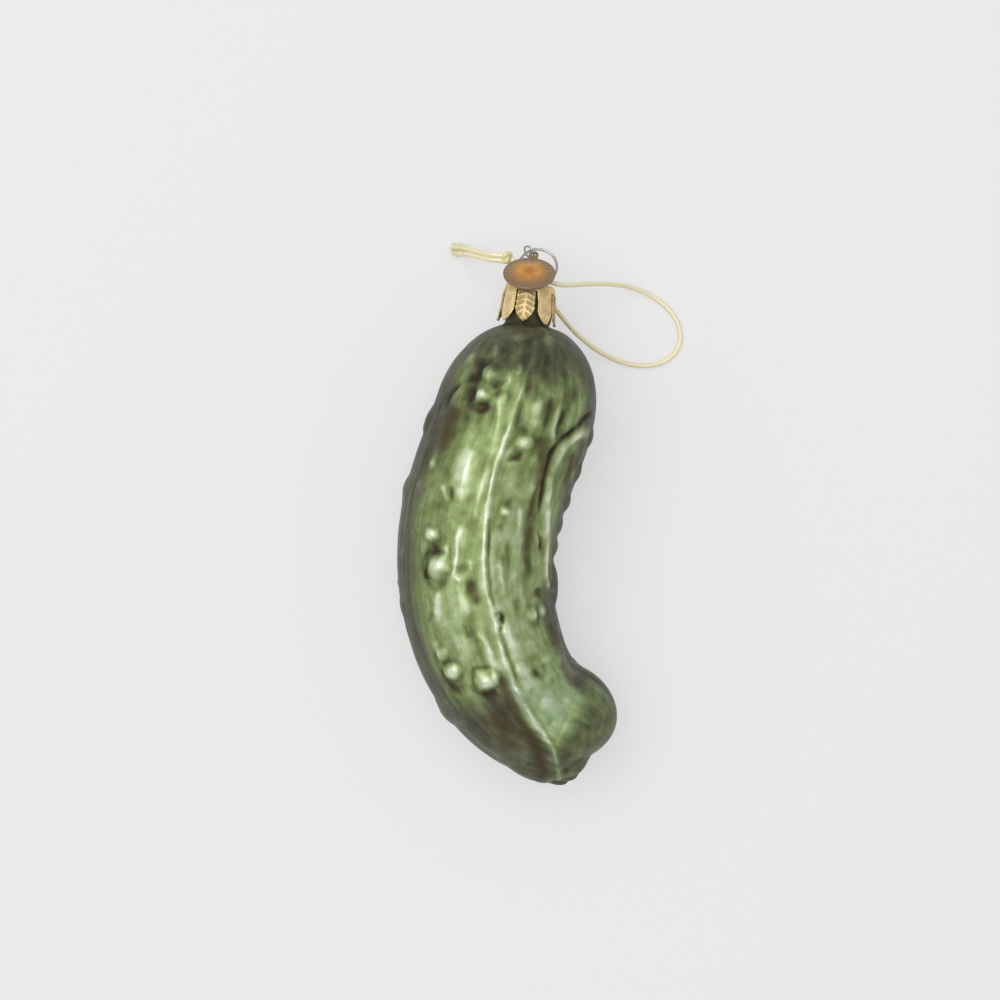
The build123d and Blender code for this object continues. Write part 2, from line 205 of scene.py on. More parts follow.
def cordLine(name, route):
    # points of the smooth curve that the route's points control, evenly spaced, in millimetres
    curve = bpy.data.curves.new(name, "CURVE")
    curve.dimensions = "3D"
    spline = curve.splines.new("NURBS")
    spline.points.add(len(route) - 1)
    for point, place in zip(spline.points, route):
        point.co = (*(float(value) * mm for value in place), 1.0)
    spline.order_u = 3
    spline.use_endpoint_u = True
    spline.resolution_u = 16
    holder = bpy.data.objects.new(name, curve)
    mesh = bpy.data.meshes.new_from_object(holder)
    points = np.array([vertex.co for vertex in mesh.vertices]) / mm
    bpy.data.objects.remove(holder)
    bpy.data.curves.remove(curve)
    bpy.data.meshes.remove(mesh)
    return evenly(points, cord["step"])


def evenly(points, step):
    far = farAlong(points)
    places = np.linspace(0, far[-1], max(int(far[-1] / step), 2) + 1)
    return np.stack([np.interp(places, far, points[:, axis]) for axis in range(3)], axis=1)


def tubeRings(line, radii, sides, closed=False, ripple=None, steep=0.9):
    # rings round a line, without twist; ripple(distance, turn) scales the radius
    ways = np.gradient(line, axis=0)
    if closed:
        ways[0] = ways[-1] = line[1] - line[-1]
    ways /= np.linalg.norm(ways, axis=1)[:, None]
    side = unit(np.cross(ways[0], upward if abs(ways[0][2]) < steep else (1.0, 0.0, 0.0)))
    turns = np.linspace(0, 2 * pi, sides, endpoint=False)
    far = farAlong(line)
    rings = []
    for i, (place, way) in enumerate(zip(line, ways)):
        side = unit(side - way * (side @ way))
        other = np.cross(way, side)
        reach = np.reshape(radii[i] * (1 if ripple is None else ripple(far[i], turns)), (-1, 1))
        rings.append(place + (np.outer(np.cos(turns), side) + np.outer(np.sin(turns), other)) * reach)
    return np.array(rings)


def tubeMesh(line, radii, sides, ripple=None):
    # tube with flat ends
    rings = tubeRings(line, radii, sides, ripple=ripple)
    count = len(line) * sides
    points = np.vstack([rings.reshape(-1, 3), line[:1], line[-1:]])
    faces = gridFaces(len(line), sides, flip=True) + fanFaces(count, 0, sides, flip=True)
    return points, faces + fanFaces(count + 1, count - sides, sides)


def plyRipple(distance, turns):
    turn = cord["plies"] * turns - 2 * pi * distance * cord["plies"] / cord["plyPitch"]
    return 1 - cord["plyDepth"] * (1 - np.abs(np.cos(turn / 2)))


def cordPiece(name, node, route):
    line = cordLine(name, route)
    radii = np.full(len(line), cord["diameter"] / 2)
    piece = addMesh(name, *tubeMesh(line, radii, cord["sides"], plyRipple), "hanger", "gold_cord")
    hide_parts(node)
    return piece, line


cordLoop, loopLine = cordPiece("cordLoop", "cord_loop", loopRoute)
upperTail, upperLine = cordPiece("cordTailUpper", "cord_tail_upper", upperRoute)
lowerTail, lowerLine = cordPiece("cordTailLower", "cord_tail_lower", lowerRoute)

# Knot: the doubled cord tied over itself, a three-lobed overhand turn
knotForm = dict(reach=0.36, depth=0.46, thickness=1.12, steps=120)
turn = np.linspace(0, 2 * pi, knotForm["steps"], endpoint=False)
knotAcross = np.cross(strandWay, levelSide)
knotLine = (
    knotMiddle
    + np.outer((np.sin(turn) + 2 * np.sin(2 * turn)) * knotForm["reach"], levelSide)
    + np.outer((np.cos(turn) - 2 * np.cos(2 * turn)) * knotForm["reach"], knotAcross)
    + np.outer(np.sin(3 * turn) * knotForm["depth"], strandWay)
)
knotRings = tubeRings(knotLine, np.full(len(knotLine), knotForm["thickness"] / 2), cord["sides"], closed=True)
knotFaces = gridFaces(len(knotLine), cord["sides"], flip=True)
lastRing = (len(knotLine) - 1) * cord["sides"]
# the frame turns a little on its way round, so the last ring joins the first at the nearest side
shift = int(np.argmin(np.linalg.norm(knotRings[0] - knotRings[-1][0], axis=1)))
for column in range(cord["sides"]):
    after = (column + 1) % cord["sides"]
    first, second = (column + shift) % cord["sides"], (after + shift) % cord["sides"]
    knotFaces.append((lastRing + column, first, second, lastRing + after))
cordKnot = addMesh("cordKnot", knotRings.reshape(-1, 3), knotFaces, "hanger", "gold_cord")
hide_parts("cord_knot")

# Frayed ends of the two tails: a brush of loose fibres, and short fuzz on the cord before it
fray = dict(
    count=44,
    length=(1.3, 2.5),
    thickness=0.15,
    thinning=0.6,  # of the thickness, lost on the way to the fibre's tip
    spread=0.2,
    curl=0.7,  # of the spread
    liftShare=0.5,  # of the spread, up and down
    rootReach=0.8,  # of the cord's radius
    start=1.5,
    endPoints=5,  # last points of the tail that give its way
    seed=11,
    sides=5,
    steps=9,
    floorGap=0.08,
    fuzzCount=70,
    fuzzLength=(0.4, 0.9),
    fuzzThickness=0.11,
    fuzzSpan=5.5,
    fuzzRoot=0.4,  # of the cord's diameter
    fuzzBend=(-1.0, 1.4),
)
chance = np.random.default_rng(fray["seed"])
frayPoints, frayFaces = [], []
share = np.linspace(0, 1, fray["steps"])


def addFibre(line, thickness):
    line[:, 2] = np.maximum(line[:, 2], thickness / 2 + fray["floorGap"])
    points, faces = tubeMesh(line, thickness / 2 * (1 - fray["thinning"] * share), fray["sides"])
    start = sum(map(len, frayPoints))
    frayPoints.append(points)
    frayFaces.extend(tuple(start + corner for corner in face) for face in faces)


for line in (upperLine, lowerLine):
    way = unit(line[-1] - line[-1 - fray["endPoints"]])
    side = unit(np.cross(way, upward))
    lift = np.cross(side, way)
    for strand in range(fray["count"]):
        angle = chance.uniform(0, 2 * pi)
        reach = cord["diameter"] / 2 * fray["rootReach"] * np.sqrt(chance.uniform(0, 1))
        length = chance.uniform(*fray["length"])
        lean = chance.normal(0, fray["spread"], 2)
        curl = chance.normal(0, fray["spread"] * fray["curl"], 2)
        asideBend, liftBend = (np.outer(lean, share) + np.outer(curl, share**2)) * length
        root = line[-1] - way * fray["start"] + side * reach * cos(angle) + lift * reach * sin(angle)
        fibre = root + np.outer(share * length, way) + np.outer(asideBend, side)
        addFibre(fibre + np.outer(liftBend * fray["liftShare"], lift), fray["thickness"])
    for strand in range(fray["fuzzCount"]):
        angle, length = chance.uniform(0, 2 * pi), chance.uniform(*fray["fuzzLength"])
        spot = len(line) - 2 - int(chance.uniform(0, fray["fuzzSpan"]) / cord["step"])
        way = unit(line[spot + 1] - line[spot - 1])
        side = unit(np.cross(way, upward))
        outward = side * cos(angle) + np.cross(side, way) * sin(angle)
        root = line[spot] + outward * cord["diameter"] * fray["fuzzRoot"]
        bend = chance.uniform(*fray["fuzzBend"])
        fibre = root + np.outer(share * length, outward) + np.outer(share**2 * length * bend, way)
        addFibre(fibre, fray["fuzzThickness"])
tailFray = addMesh("tailFray", np.vstack(frayPoints), frayFaces, "hanger", "gold_cord")

print("cord laid,", len(cordLoop.data.vertices), "points in its loop")

# Pickle: the glass skin round its bent spine, as the part's source has it
pickle = dict(
    belly=34.6,
    bulb=26.0,
    shoulder=21.6,
    shoulderBlunt=2.2,
    tip=10.4,
    wall=0.8,
    capRoom=0.4,  # cap's sheet and the gap under it
    neck=9.0,
    neckLength=7.6,
    spine=[(1.4, 0.0), (0.5, 17.0), (-4.6, 42.4), (-1.0, 67.0), (13.1, 83.8), (27.2, 90.4)],
    startPull=0.95,
    endPull=1.13,
    columns=360,
    shoulderRows=100,
    middleRows=320,
    tipRows=70,
    innerRows=40,
    filletStart=1.3,  # distance along the spine where the dome turns up into the neck
    filletRise=0.9,
    filletPull=0.45,
    filletRows=14,
    neckRows=14,
    lipHeight=0.25,
    boreDrops=(1.5, 3.5, 5.5),  # rows down the neck's bore, from its rim
    boreRoom=1.15,  # the inside's rows start where it is this much wider than the bore
)
shoulderY = capTop[1] - pickle["capRoom"] - pickle["neckLength"]
spinePoints = [(capTop[0] + aside, shoulderY - down) for aside, down in pickle["spine"]]
spineLine = splineThrough(
    spinePoints, np.array([0, -1]) * pickle["startPull"], unit((1, -1)) * pickle["endPull"], perRun=200
)
spineFar = farAlong(spineLine)
spineLength = spineFar[-1]
spineWay = np.gradient(spineLine, axis=0)
spineWay /= np.linalg.norm(spineWay, axis=1)[:, None]
bulbStart = spineLength - pickle["tip"]


def halfWidth(along):
    share = np.clip((along - pickle["shoulder"]) / (bulbStart - pickle["shoulder"]), 0, 1)
    return (pickle["belly"] - (pickle["belly"] - pickle["bulb"]) * share**3) / 2


def girth(along, inset=0.0):
    blunt = pickle["shoulderBlunt"]
    shoulder = np.clip((pickle["shoulder"] - along) / (pickle["shoulder"] - inset), 0, 1)
    tip = np.clip((along - bulbStart) / (pickle["tip"] - inset), 0, 1)
    return (halfWidth(along) - inset) * (1 - shoulder**blunt) ** (1 / blunt) * np.sqrt(1 - tip**2)


def skin(along, around, inset=0.0):
    # places on the skin: millimetres along the spine, and turn from the top towards +X in radians
    along, around = np.broadcast_arrays(np.asarray(along, float), np.asarray(around, float))
    place = [np.interp(along, spineFar, spineLine[:, axis]) for axis in (0, 1)]
    way = [np.interp(along, spineFar, spineWay[:, axis]) for axis in (0, 1)]
    reach = girth(along, inset)
    aside = reach * np.sin(around)
    level = [place[0] - way[1] * aside, place[1] + way[0] * aside]
    return np.stack([*level, halfWidth(along) + reach * np.cos(around)], axis=-1)


rowPower = pickle["shoulderBlunt"] / 2  # spreads the shoulder's rows evenly down its curve
firstTurn = np.arcsin((1 - pickle["filletStart"] / pickle["shoulder"]) ** rowPower)
shoulderTurn = np.linspace(firstTurn, 0, pickle["shoulderRows"])
shoulderAlong = pickle["shoulder"] * (1 - np.sin(shoulderTurn) ** (1 / rowPower))
middleAlong = np.linspace(pickle["shoulder"], bulbStart, pickle["middleRows"] + 1)[1:]
tipAlong = bulbStart + pickle["tip"] * np.sin(np.linspace(0, pi / 2, pickle["tipRows"] + 1)[1:-1])
along = np.concatenate([shoulderAlong, middleAlong, tipAlong])
around = np.linspace(-pi, pi, pickle["columns"], endpoint=False)
grid = skin(along[:, None], around[None, :])
acrossStep = np.roll(grid, -1, axis=1) - np.roll(grid, 1, axis=1)
normals = np.cross(acrossStep, np.gradient(grid, axis=0))
normals /= np.linalg.norm(normals, axis=2)[..., None]
if (normals[len(along) // 2, pickle["columns"] // 2] @ upward) < 0:
    normals = -normals
rowGirth = girth(along)[:, None]
alongGrid = np.repeat(along[:, None], pickle["columns"], axis=1)
aroundDegrees = np.repeat(np.degrees(around)[None, :], len(along), axis=0)
relief = np.zeros(grid.shape[:2])
tone = np.zeros_like(relief)  # of the lacquer, from 0, dark, to 1, pale: its own tone together with painted highlights and painted shade
brown = np.zeros_like(relief)
degreeReach = pickle["belly"] / 2 * pi / 180  # millimetres on the skin for each degree round it

# Blown-glass unevenness: lengthwise streaks, a cloudy drift, and a wobble that keeps the drawing irregular
uneven = dict(
    turns=4.2,
    stretch=0.055,
    fineTurns=2.9,  # finer streaks among the broad ones
    fineStretch=2.1,
    fineShare=0.7,
    streakHeight=0.13,
    streakEnd=(9.0, 2.0),  # from the rounded end, where the streaks die out
    driftScale=0.3,
    driftKind=(1.0, 2.1, 3),  # roughness, step from octave to octave, and octaves
    driftHeight=0.06,
    wobbleScale=0.42,
    wobbleApart=(31.0, 7.0, 3.0),
    wobble=0.5,
    calm=0.15,  # of the wobble, for the seam and the crease
)
streak, drift, wobbleAlong, wobbleAside = (np.zeros_like(relief) for field in range(4))
fineTurns, wobbleApart = uneven["fineTurns"], Vector(uneven["wobbleApart"])
for row, place in enumerate(along):
    level = place * uneven["stretch"]
    for column, angle in enumerate(around):
        aside, up = uneven["turns"] * sin(angle), uneven["turns"] * cos(angle)
        fineSpot = (up * fineTurns, aside * fineTurns, level * uneven["fineStretch"])
        streak[row, column] = noise.noise((up, aside, level)) + uneven["fineShare"] * noise.noise(fineSpot)
        spot = Vector(grid[row, column])
        drift[row, column] = noise.fractal(spot * uneven["driftScale"], *uneven["driftKind"])
        wobbleAlong[row, column] = noise.noise(spot * uneven["wobbleScale"])
        wobbleAside[row, column] = noise.noise(spot * uneven["wobbleScale"] + wobbleApart)
fadeStart, fadeEnd = (spineLength - reach for reach in uneven["streakEnd"])
poleFade = 1 - smoothStep(fadeStart, fadeEnd, along)
streak *= poleFade[:, None]

# Drawing of the skin: (half width, change of tone, height, places along the spine and in degrees round it)
# seam, crease, pale and dark strokes paint raised lines lighter, a painted highlight, and sunk ones darker, a
# painted shade; brown strokes turn the lacquer brown and darker
skinStrokes = dict(
    seam=[
        (0.7, 0.14, 0.12, [(2.6, 5), (8.5, 5.2), (11.5, 3), (15, 1), (19, 0.2)]),
        (0.78, 0.17, 0.3, [(13, 1.8), (18, 0), (24, 0.3), (30, -0.4), (34, 0.2), (37, 1.5)]),
        (0.75, 0.14, 0.1, [(22, 0.2), (30, -0.4), (36, 1), (43, 4.2), (50, 6), (57, 7.9), (64, 10)]),
        (0.78, 0.27, 0.36, [
            (31, -0.3), (34, 0.2), (37, 1.5), (41, 3.5), (45, 5), (50, 6), (55, 7.4), (60, 8.6), (64, 10),
            (66.5, 10.6), (69, 10), (72, 9.4), (76, 8), (80, 6.4), (83, 4), (87, 0.4),
        ]),
        (0.62, 0.12, 0.1, [(65, 10.2), (69, 10), (72, 9.4), (76, 8), (80, 6.4), (83, 4), (87, 0.4)]),
        (1.1, 0.2, 0.2, [(66.6, 17.4), (70, 18), (74.2, 18), (78, 15.6), (81.4, 12), (86.2, 8)]),
        (0.58, 0.3, 0.42, [
            (81, 5.6), (83, 4), (87, 0.4), (90, -5), (93, -12), (96, -22), (98.5, -36), (100.6, -55),
            (101.4, -74),
        ]),
        (0.9, 0.25, 0.18, [(21.5, -8.8), (26, -7.2), (30, -5.6), (36, -4.6), (40, -4.2), (45, -1.6)]),
    ],
    crease=[
        (0.68, -0.46, -0.44, [
            (15.6, 70), (17, 60.5), (19, 52), (21, 45), (23, 39), (25.5, 36), (28.5, 36.4), (31.5, 38.4),
            (35, 41.5), (40, 44),
        ]),
        (1.1, 0.4, 0.5, [
            (18.6, 65), (20.4, 56.5), (22.4, 48), (25, 43.4), (28, 41.6), (31, 42.6), (36, 47.2),
            (40, 52.4), (44, 57.4), (48, 60.8), (52, 62.4), (57, 63.6), (62, 69),
        ]),
    ],
    # pale strokes: painted highlights along low ridges
    pale=[
        (1.6, 0.14, 0.06, [(8.6, -52), (11, -50), (13, -50)]),
        (0.7, 0.26, 0.12, [(5.8, -34), (9.8, -28)]),
        (0.9, 0.2, 0.12, [(2.8, -17), (5.8, -10)]),
        (0.8, 0.22, 0.1, [(2.4, 30), (5.6, 14)]),
        (0.8, 0.2, 0.1, [(15, -42), (19.5, -48), (24.5, -50)]),
        (0.7, 0.24, 0.15, [(11.6, -12), (15, -11.2), (17.6, -14.6), (20, -12), (23.6, -9), (27, -7.4)]),
        (0.55, 0.2, 0.15, [(9.6, -5), (13, -5)]),
        (1.1, 0.3, 0.15, [(15.6, 13.6), (19, 14.6), (22.8, 17.4)]),
        (0.6, 0.32, 0.15, [(15.4, 32.6), (19, 30), (22, 32), (24.6, 35)]),
        (0.9, 0.3, 0.15, [(14.4, 43.6), (18, 41), (21.6, 37.6)]),
        (0.5, 0.32, 0.15, [(32.4, 34), (36, 37.6), (41, 39.4)]),
        (0.6, 0.3, 0.12, [(38, 26), (42, 28.4), (45.5, 29.8)]),
        (1.7, 0.42, 0.14, [(29.8, -23.6), (35, -19.4), (41.6, -15.6)]),
        (0.5, 0.38, 0.16, [(38.8, -34), (42.2, -26)]),
        (0.9, 0.16, 0.1, [(39.6, -58), (41.6, -50)]),
        (0.55, 0.42, 0.26, [(44.6, -10.6), (48, -12.4), (51, -13), (54, -14), (57.4, -16.4)]),
        (0.55, 0.34, 0.16, [(56.2, -15.6), (56.8, -9)]),
        (0.7, 0.36, 0.16, [(52, -2.4), (55.2, -3.6)]),
        (0.6, 0.32, 0.12, [(49.4, -22.6), (53.2, -20.6)]),
        (0.8, 0.32, 0.16, [(57.4, -26.6), (60, -28.8), (62.2, -30.4), (64.4, -34.4)]),
        (1, 0.26, 0.1, [(57.4, -13.4), (61, -10), (65.4, -8.6)]),
        (0.75, 0.34, 0.16, [(66.6, -4), (70, -0.4), (73, -0.2), (77.6, -4.4), (82.6, -8.2)]),
        (0.6, 0.2, 0.1, [(44, 44.6), (49.4, 50.6)]),
        (0.5, 0.18, 0.08, [(49, 43.6), (55, 47.6)]),
        (0.6, 0.22, 0.1, [(81.6, -8.8), (86, -12.4), (88.8, -18)]),
        (0.8, 0.2, 0.1, [(57.6, 64.6), (61.2, 68), (62.8, 82)]),
        (0.6, 0.22, 0.1, [(51.6, 18.6), (57, 19.4), (62, 21.6)]),
        (0.8, 0.16, 0.08, [(58, 33.4), (64, 35.8), (70, 36)]),
        (0.9, 0.2, 0.1, [(67, -38), (70.4, -41)]),
        (0.5, 0.2, 0.08, [(26, 5.2), (31, 5.6)]),
        (0.9, 0.16, 0.08, [(72, 28.6), (77, 36), (83, 42)]),
        (0.7, 0.2, 0.08, [(33, -48.6), (37.6, -46)]),
        (1.2, 0.18, 0.06, [(84.6, 24), (86, 33), (85.6, 42)]),
        (0.9, 0.2, 0.08, [(88, 14), (91.6, 18.4)]),
        (0.7, 0.06, 0.08, [(93, -4), (96.2, -12.4), (98.8, -26)]),
        (1, 0.14, 0.06, [(92.6, 24), (95.4, 30)]),
    ],
    # dark strokes: painted shade along grooves and hollows
    dark=[
        (1.2, -0.1, -0.15, [(3.4, 32), (7, 24.4), (10, 19), (13.4, 13)]),
        (0.8, -0.07, -0.12, [(2.4, -4), (8, -1.6), (13.4, -2)]),
        (0.9, -0.07, -0.12, [(3, -26), (7, -21), (11.6, -18)]),
        (0.7, -0.07, -0.1, [(3, 12), (8, 10), (13, 8.4)]),
        (1.2, -0.2, -0.3, [(9.4, -38.6), (14, -35.6), (18, -36.4), (23, -33)]),
        (0.38, -0.22, -0.14, [(21.6, -3.2), (28, -2.7), (34, -2.5), (38, -0.4), (41.6, 1.2)]),
        (0.8, -0.2, -0.15, [(9, 3.8), (16, 4.6), (22, 5), (27.6, 5)]),
        (1, -0.24, -0.15, [(14.6, 24), (19, 23), (23, 23.4)]),
        (0.5, -0.26, -0.15, [(16, 36.4), (20, 34), (23.6, 36.4)]),
        (0.5, -0.3, -0.15, [(38.4, -27), (42.4, -21.6)]),
        (0.42, -0.26, -0.2, [(42, 6.6), (50, 9.4), (56, 10.3), (60, 11), (64.4, 12.8)]),
        (0.45, -0.2, -0.14, [(79, 10), (83, 7.4), (87, 3.8), (90.4, -1.6), (93.4, -8.6), (96.4, -18.6)]),
        (0.9, -0.3, -0.25, [(25.4, -55), (22, -55), (19.8, -53), (16.6, -44), (13.6, -37)]),
        (0.42, -0.46, -0.22, [(64.4, 11.8), (64.8, 15.6), (66.4, 17), (68.6, 14.4)]),
        (0.45, -0.22, -0.1, [(50.4, 19.8), (54.6, 21)]),
        (0.5, -0.24, -0.1, [(49.6, -18), (53.4, -17.2)]),
        (0.7, -0.22, -0.12, [(49.8, -37), (54, -39.6), (57.2, -35), (58, -27.4), (56, -19)]),
        (0.7, -0.36, -0.2, [(43.6, 47.4), (47, 52), (50.8, 53.2)]),
        (0.6, -0.24, -0.1, [(61.4, -36), (64.6, -41.4)]),
        (0.9, -0.2, -0.1, [(78.4, -22.4), (80.4, -17), (81, -9)]),
        (0.5, -0.24, -0.15, [(66.4, 13.6), (72, 13), (77, 11.4), (82, 7.6)]),
        (1, -0.2, -0.1, [(65, -14.8), (69.6, -9.6)]),
        (0.8, -0.26, -0.15, [(71.4, -45.6), (76.4, -41), (76.6, -31)]),
        (0.6, -0.22, -0.1, [(46, 19), (44, 14.4)]),
        (0.9, -0.2, -0.1, [(66, 28), (61, 30.4)]),
        (0.9, -0.22, -0.1, [(80.4, 23), (83.6, 27.4)]),
        (0.8, -0.2, -0.1, [(86.6, 44.4), (90.6, 39.4)]),
        (1, -0.2, -0.1, [(95.4, 6), (97.2, 20)]),
        (0.6, -0.2, -0.1, [(58, 26), (53, 25), (47, 23)]),
    ],
    brown=[
        (0.95, -0.34, -0.25, [(20.4, -16), (21.8, -24.6), (22, -34)]),
        (1.35, -0.13, -0.22, [
            (22, 23.6), (27, 29.4), (31, 33), (36, 35.6), (44, 38.4), (51, 40.6), (58, 43.6),
        ]),
        (2.1, -0.12, 0, [(22, -42), (28, -43.6), (34.6, -42.4)]),
        (0.8, -0.34, -0.25, [(27.6, 15.4), (28.8, 12.4), (30.2, 7.6)]),
        (1, -0.24, -0.15, [(56.6, -4.6), (59, -2), (63, 2)]),
        (1.5, -0.26, -0.2, [(59.6, 50.6), (63.6, 53.4)]),
        (1.3, -0.2, -0.3, [
            (76.4, 1.4), (80, -1), (84, -5.8), (88, -12), (91, -20.6), (94, -33), (96, -51), (97.2, -72),
        ]),
        (2.6, -0.1, 0, [(82, -22), (86, -28), (91, -42)]),
        (1.3, -0.06, -0.1, [(23, 58), (26.6, 58.6), (31.6, 64)]),
        (1.2, -0.16, -0.1, [(70, 58), (75, 59.4), (80, 58.4)]),
    ],
)


strokeForm = dict(
    margin=5,  # millimetres beyond the stroke's ends that it can reach along the spine
    leastGirth=1.0,
    taper=2.6,
    taperShare=0.35,  # of the stroke's length, at most
    endWidth=0.5,
    widthWobble=0.35,
    strengthWobble=0.5,
    seamCover=0.85,  # brown that the seam keeps off itself
)


def strokeMask(points, width, wobbling):
    # 1 on the stroke's line, falling away to its sides and thinning out to its ends
    scaled = splineThrough(np.array(points) * (1, degreeReach)) / (1, degreeReach)
    nearest, share = np.full(relief.shape, np.inf), np.zeros(relief.shape)
    low, high = scaled[:, 0].min() - strokeForm["margin"], scaled[:, 0].max() + strokeForm["margin"]
    rows = (along > low) & (along < high)
    reach = np.maximum(rowGirth[rows], strokeForm["leastGirth"]) * pi / 180
    far = farAlong(scaled * (1, degreeReach))
    steps = np.diff(far)
    for index, (first, second) in enumerate(zip(scaled, scaled[1:])):
        firstAlong = first[0] - alongGrid[rows] - wobbling * wobbleAlong[rows]
        firstAside = (first[1] - aroundDegrees[rows]) * reach - wobbling * wobbleAside[rows]
        runAlong, runAside = second[0] - first[0], (second[1] - first[1]) * reach
        part = np.clip(-(firstAlong * runAlong + firstAside * runAside) / (runAlong**2 + runAside**2), 0, 1)
        distance = np.hypot(firstAlong + part * runAlong, firstAside + part * runAside)
        closer = distance < nearest[rows]
        nearest[rows] = np.where(closer, distance, nearest[rows])
        share[rows] = np.where(closer, far[index] + part * steps[index], share[rows])
    taper = min(strokeForm["taperShare"] * far[-1], strokeForm["taper"])
    fade = smoothStep(0, taper, share) * smoothStep(0, taper, far[-1] - share)
    endWidth = strokeForm["endWidth"]
    thinned = width * (endWidth + (1 - endWidth) * fade) * (1 + strokeForm["widthWobble"] * wobbleAside)
    return fade * np.exp(-((nearest / thinned) ** 2)) * (1 + strokeForm["strengthWobble"] * wobbleAlong)


seamMask = np.zeros_like(relief)
for kind, rows in skinStrokes.items():
    wobbling = uneven["wobble"] * (uneven["calm"] if kind in ("seam", "crease") else 1)
    for width, change, height, points in rows:
        mask = strokeMask(points, width, wobbling)
        relief += height * mask
        tone += change * mask
        if kind == "seam":
            seamMask = np.maximum(seamMask, np.clip(mask, 0, 1))
        if kind == "brown":
            brown = np.maximum(brown, np.clip(mask, 0, 1) * (1 - strokeForm["seamCover"] * seamMask))
print("skin drawn")

# Warts and pits: places along and in degrees round, radius, height or depth, and how pale a wart's painted
# highlight is or how brown a pit is
warts = [
    (13.2, -28, 1.9, 0.7, 0.34), (18.8, -27, 1.7, 0.65, 0.4), (18, -10, 1.5, 0.3, 0.06),
    (25.4, 15, 1.7, 0.5, 0.34), (41.2, 17, 1.3, 0.42, 0.3), (48.3, -34, 1.6, 0.75, 0.5),
    (54, -27.5, 2.5, 0.9, 0.54), (70, -37, 1.6, 0.65, 0.36), (73.3, -33, 2.1, 0.9, 0.58),
    (77.5, -12, 2.5, 1, 0.62), (77.9, -31.8, 1.5, 0.3, 0.1), (67.4, 42.5, 1.6, 0.55, 0.4),
    (67, 53, 1.6, 0.55, 0.4), (74, 73, 1.7, 0.5, 0.3), (84, 57, 1.7, 0.35, 0.18), (20, 66, 1.9, 0.5, 0.34),
    (28.5, 64, 1.8, 0.5, 0.28), (24.6, 69, 1.5, 0.4, 0.22), (36, -48, 1.2, 0.3, 0.2),
    (81, 41, 1.6, 0.3, 0.12), (27.5, -82, 3.2, 0.75, 0.12), (41.5, -82, 3.2, 0.7, 0.12),
    (79.5, -82, 3.2, 0.65, 0.12), (61, -80, 2.4, 0.35, 0.12), (60, 86, 4.4, 1.1, 0.1),
    (20.5, 82, 2.4, 0.6, 0.14), (27.5, 81, 2.3, 0.6, 0.14), (34.5, 82, 2.2, 0.6, 0.14),
    (41.5, 82, 2.2, 0.6, 0.14), (48, 83, 2.2, 0.55, 0.14), (16, 128, 1.9, 0.55, 0.3),
    (22, 118, 1.8, 0.6, 0.34), (36, -124, 2, 0.6, 0.34), (40, -140, 1.6, 0.5, 0.3),
    (52, 118, 1.9, 0.6, 0.34), (56.5, 132, 2.2, 0.65, 0.34), (64, -120, 1.8, 0.6, 0.34),
    (84, -122, 1.8, 0.6, 0.34), (18, -104, 1.8, 0.55, 0.3), (24, -112, 1.6, 0.5, 0.28),
    (50, -106, 2.1, 0.65, 0.32), (57, -100, 1.6, 0.5, 0.28), (74, -104, 2, 0.6, 0.3),
    (90, -106, 1.7, 0.5, 0.26), (30, 104, 1.9, 0.6, 0.3), (44, 108, 1.7, 0.5, 0.28),
    (66, 104, 1.9, 0.6, 0.3), (76, 112, 1.7, 0.5, 0.28), (92, 104, 1.6, 0.45, 0.24),
    (70.5, 162, 2, 0.4, 0.3), (30, 166, 1.8, 0.4, 0.3), (48, -166, 1.6, 0.4, 0.28),
    (88, 128, 1.8, 0.45, 0.2),
]
pits = [
    (15.8, -19, 1.3, 0.4, 0.4), (17.4, -16, 0.9, 0.22, 0.3), (21.6, -24, 1.5, 0.35, 0.9),
    (14.6, -36.4, 1.4, 0.35, 0.3), (19.2, -35.6, 1.3, 0.3, 0.4), (11.6, -38.4, 1.2, 0.25, 0.2),
    (23.6, 10.6, 1, 0.28, 0.3), (28.6, 13, 1.1, 0.32, 0.8), (29.8, 8.6, 0.8, 0.22, 0.7),
    (39.2, 17.4, 1.1, 0.32, 0.4), (50.9, -30.2, 1.2, 0.5, 0.7), (55.4, -38, 1, 0.25, 0.3),
    (66.2, 16, 0.8, 0.42, 0.5), (64.7, 13.2, 0.6, 0.25, 0.4), (68.4, 13.6, 0.6, 0.22, 0.4),
    (80.4, -13.4, 1.3, 0.32, 0.7), (75.7, -40.4, 1.1, 0.25, 0.4), (88, 32, 0.6, 0.2, 0),
    (93, 2, 0.9, 0.2, 0), (82.5, 24, 0.8, 0.14, 0), (85, 14, 0.7, 0.13, 0), (87, 23, 0.6, 0.12, 0),
    (90.4, 27, 0.7, 0.14, 0), (91, 9, 0.6, 0.12, 0), (86, 48, 0.8, 0.13, 0), (82, 35, 0.6, 0.12, 0),
    (95, 16, 0.8, 0.14, 0), (78.4, 30, 0.7, 0.13, 0), (79.6, 45, 0.7, 0.13, 0), (74.6, 33, 0.6, 0.12, 0),
    (71, 27, 0.6, 0.12, 0), (54.6, -9.4, 0.8, 0.2, 0.4), (57.6, -2.6, 1.1, 0.22, 0.8),
    (102.4, -51, 0.9, 0.6, 0), (25, 122, 1.3, 0.3, 0.6), (38.2, -132, 1.3, 0.3, 0.6),
    (54.6, 124, 1.4, 0.35, 0.6), (66.4, -124, 1.2, 0.3, 0.5), (18.8, 134, 1.2, 0.3, 0.5),
]
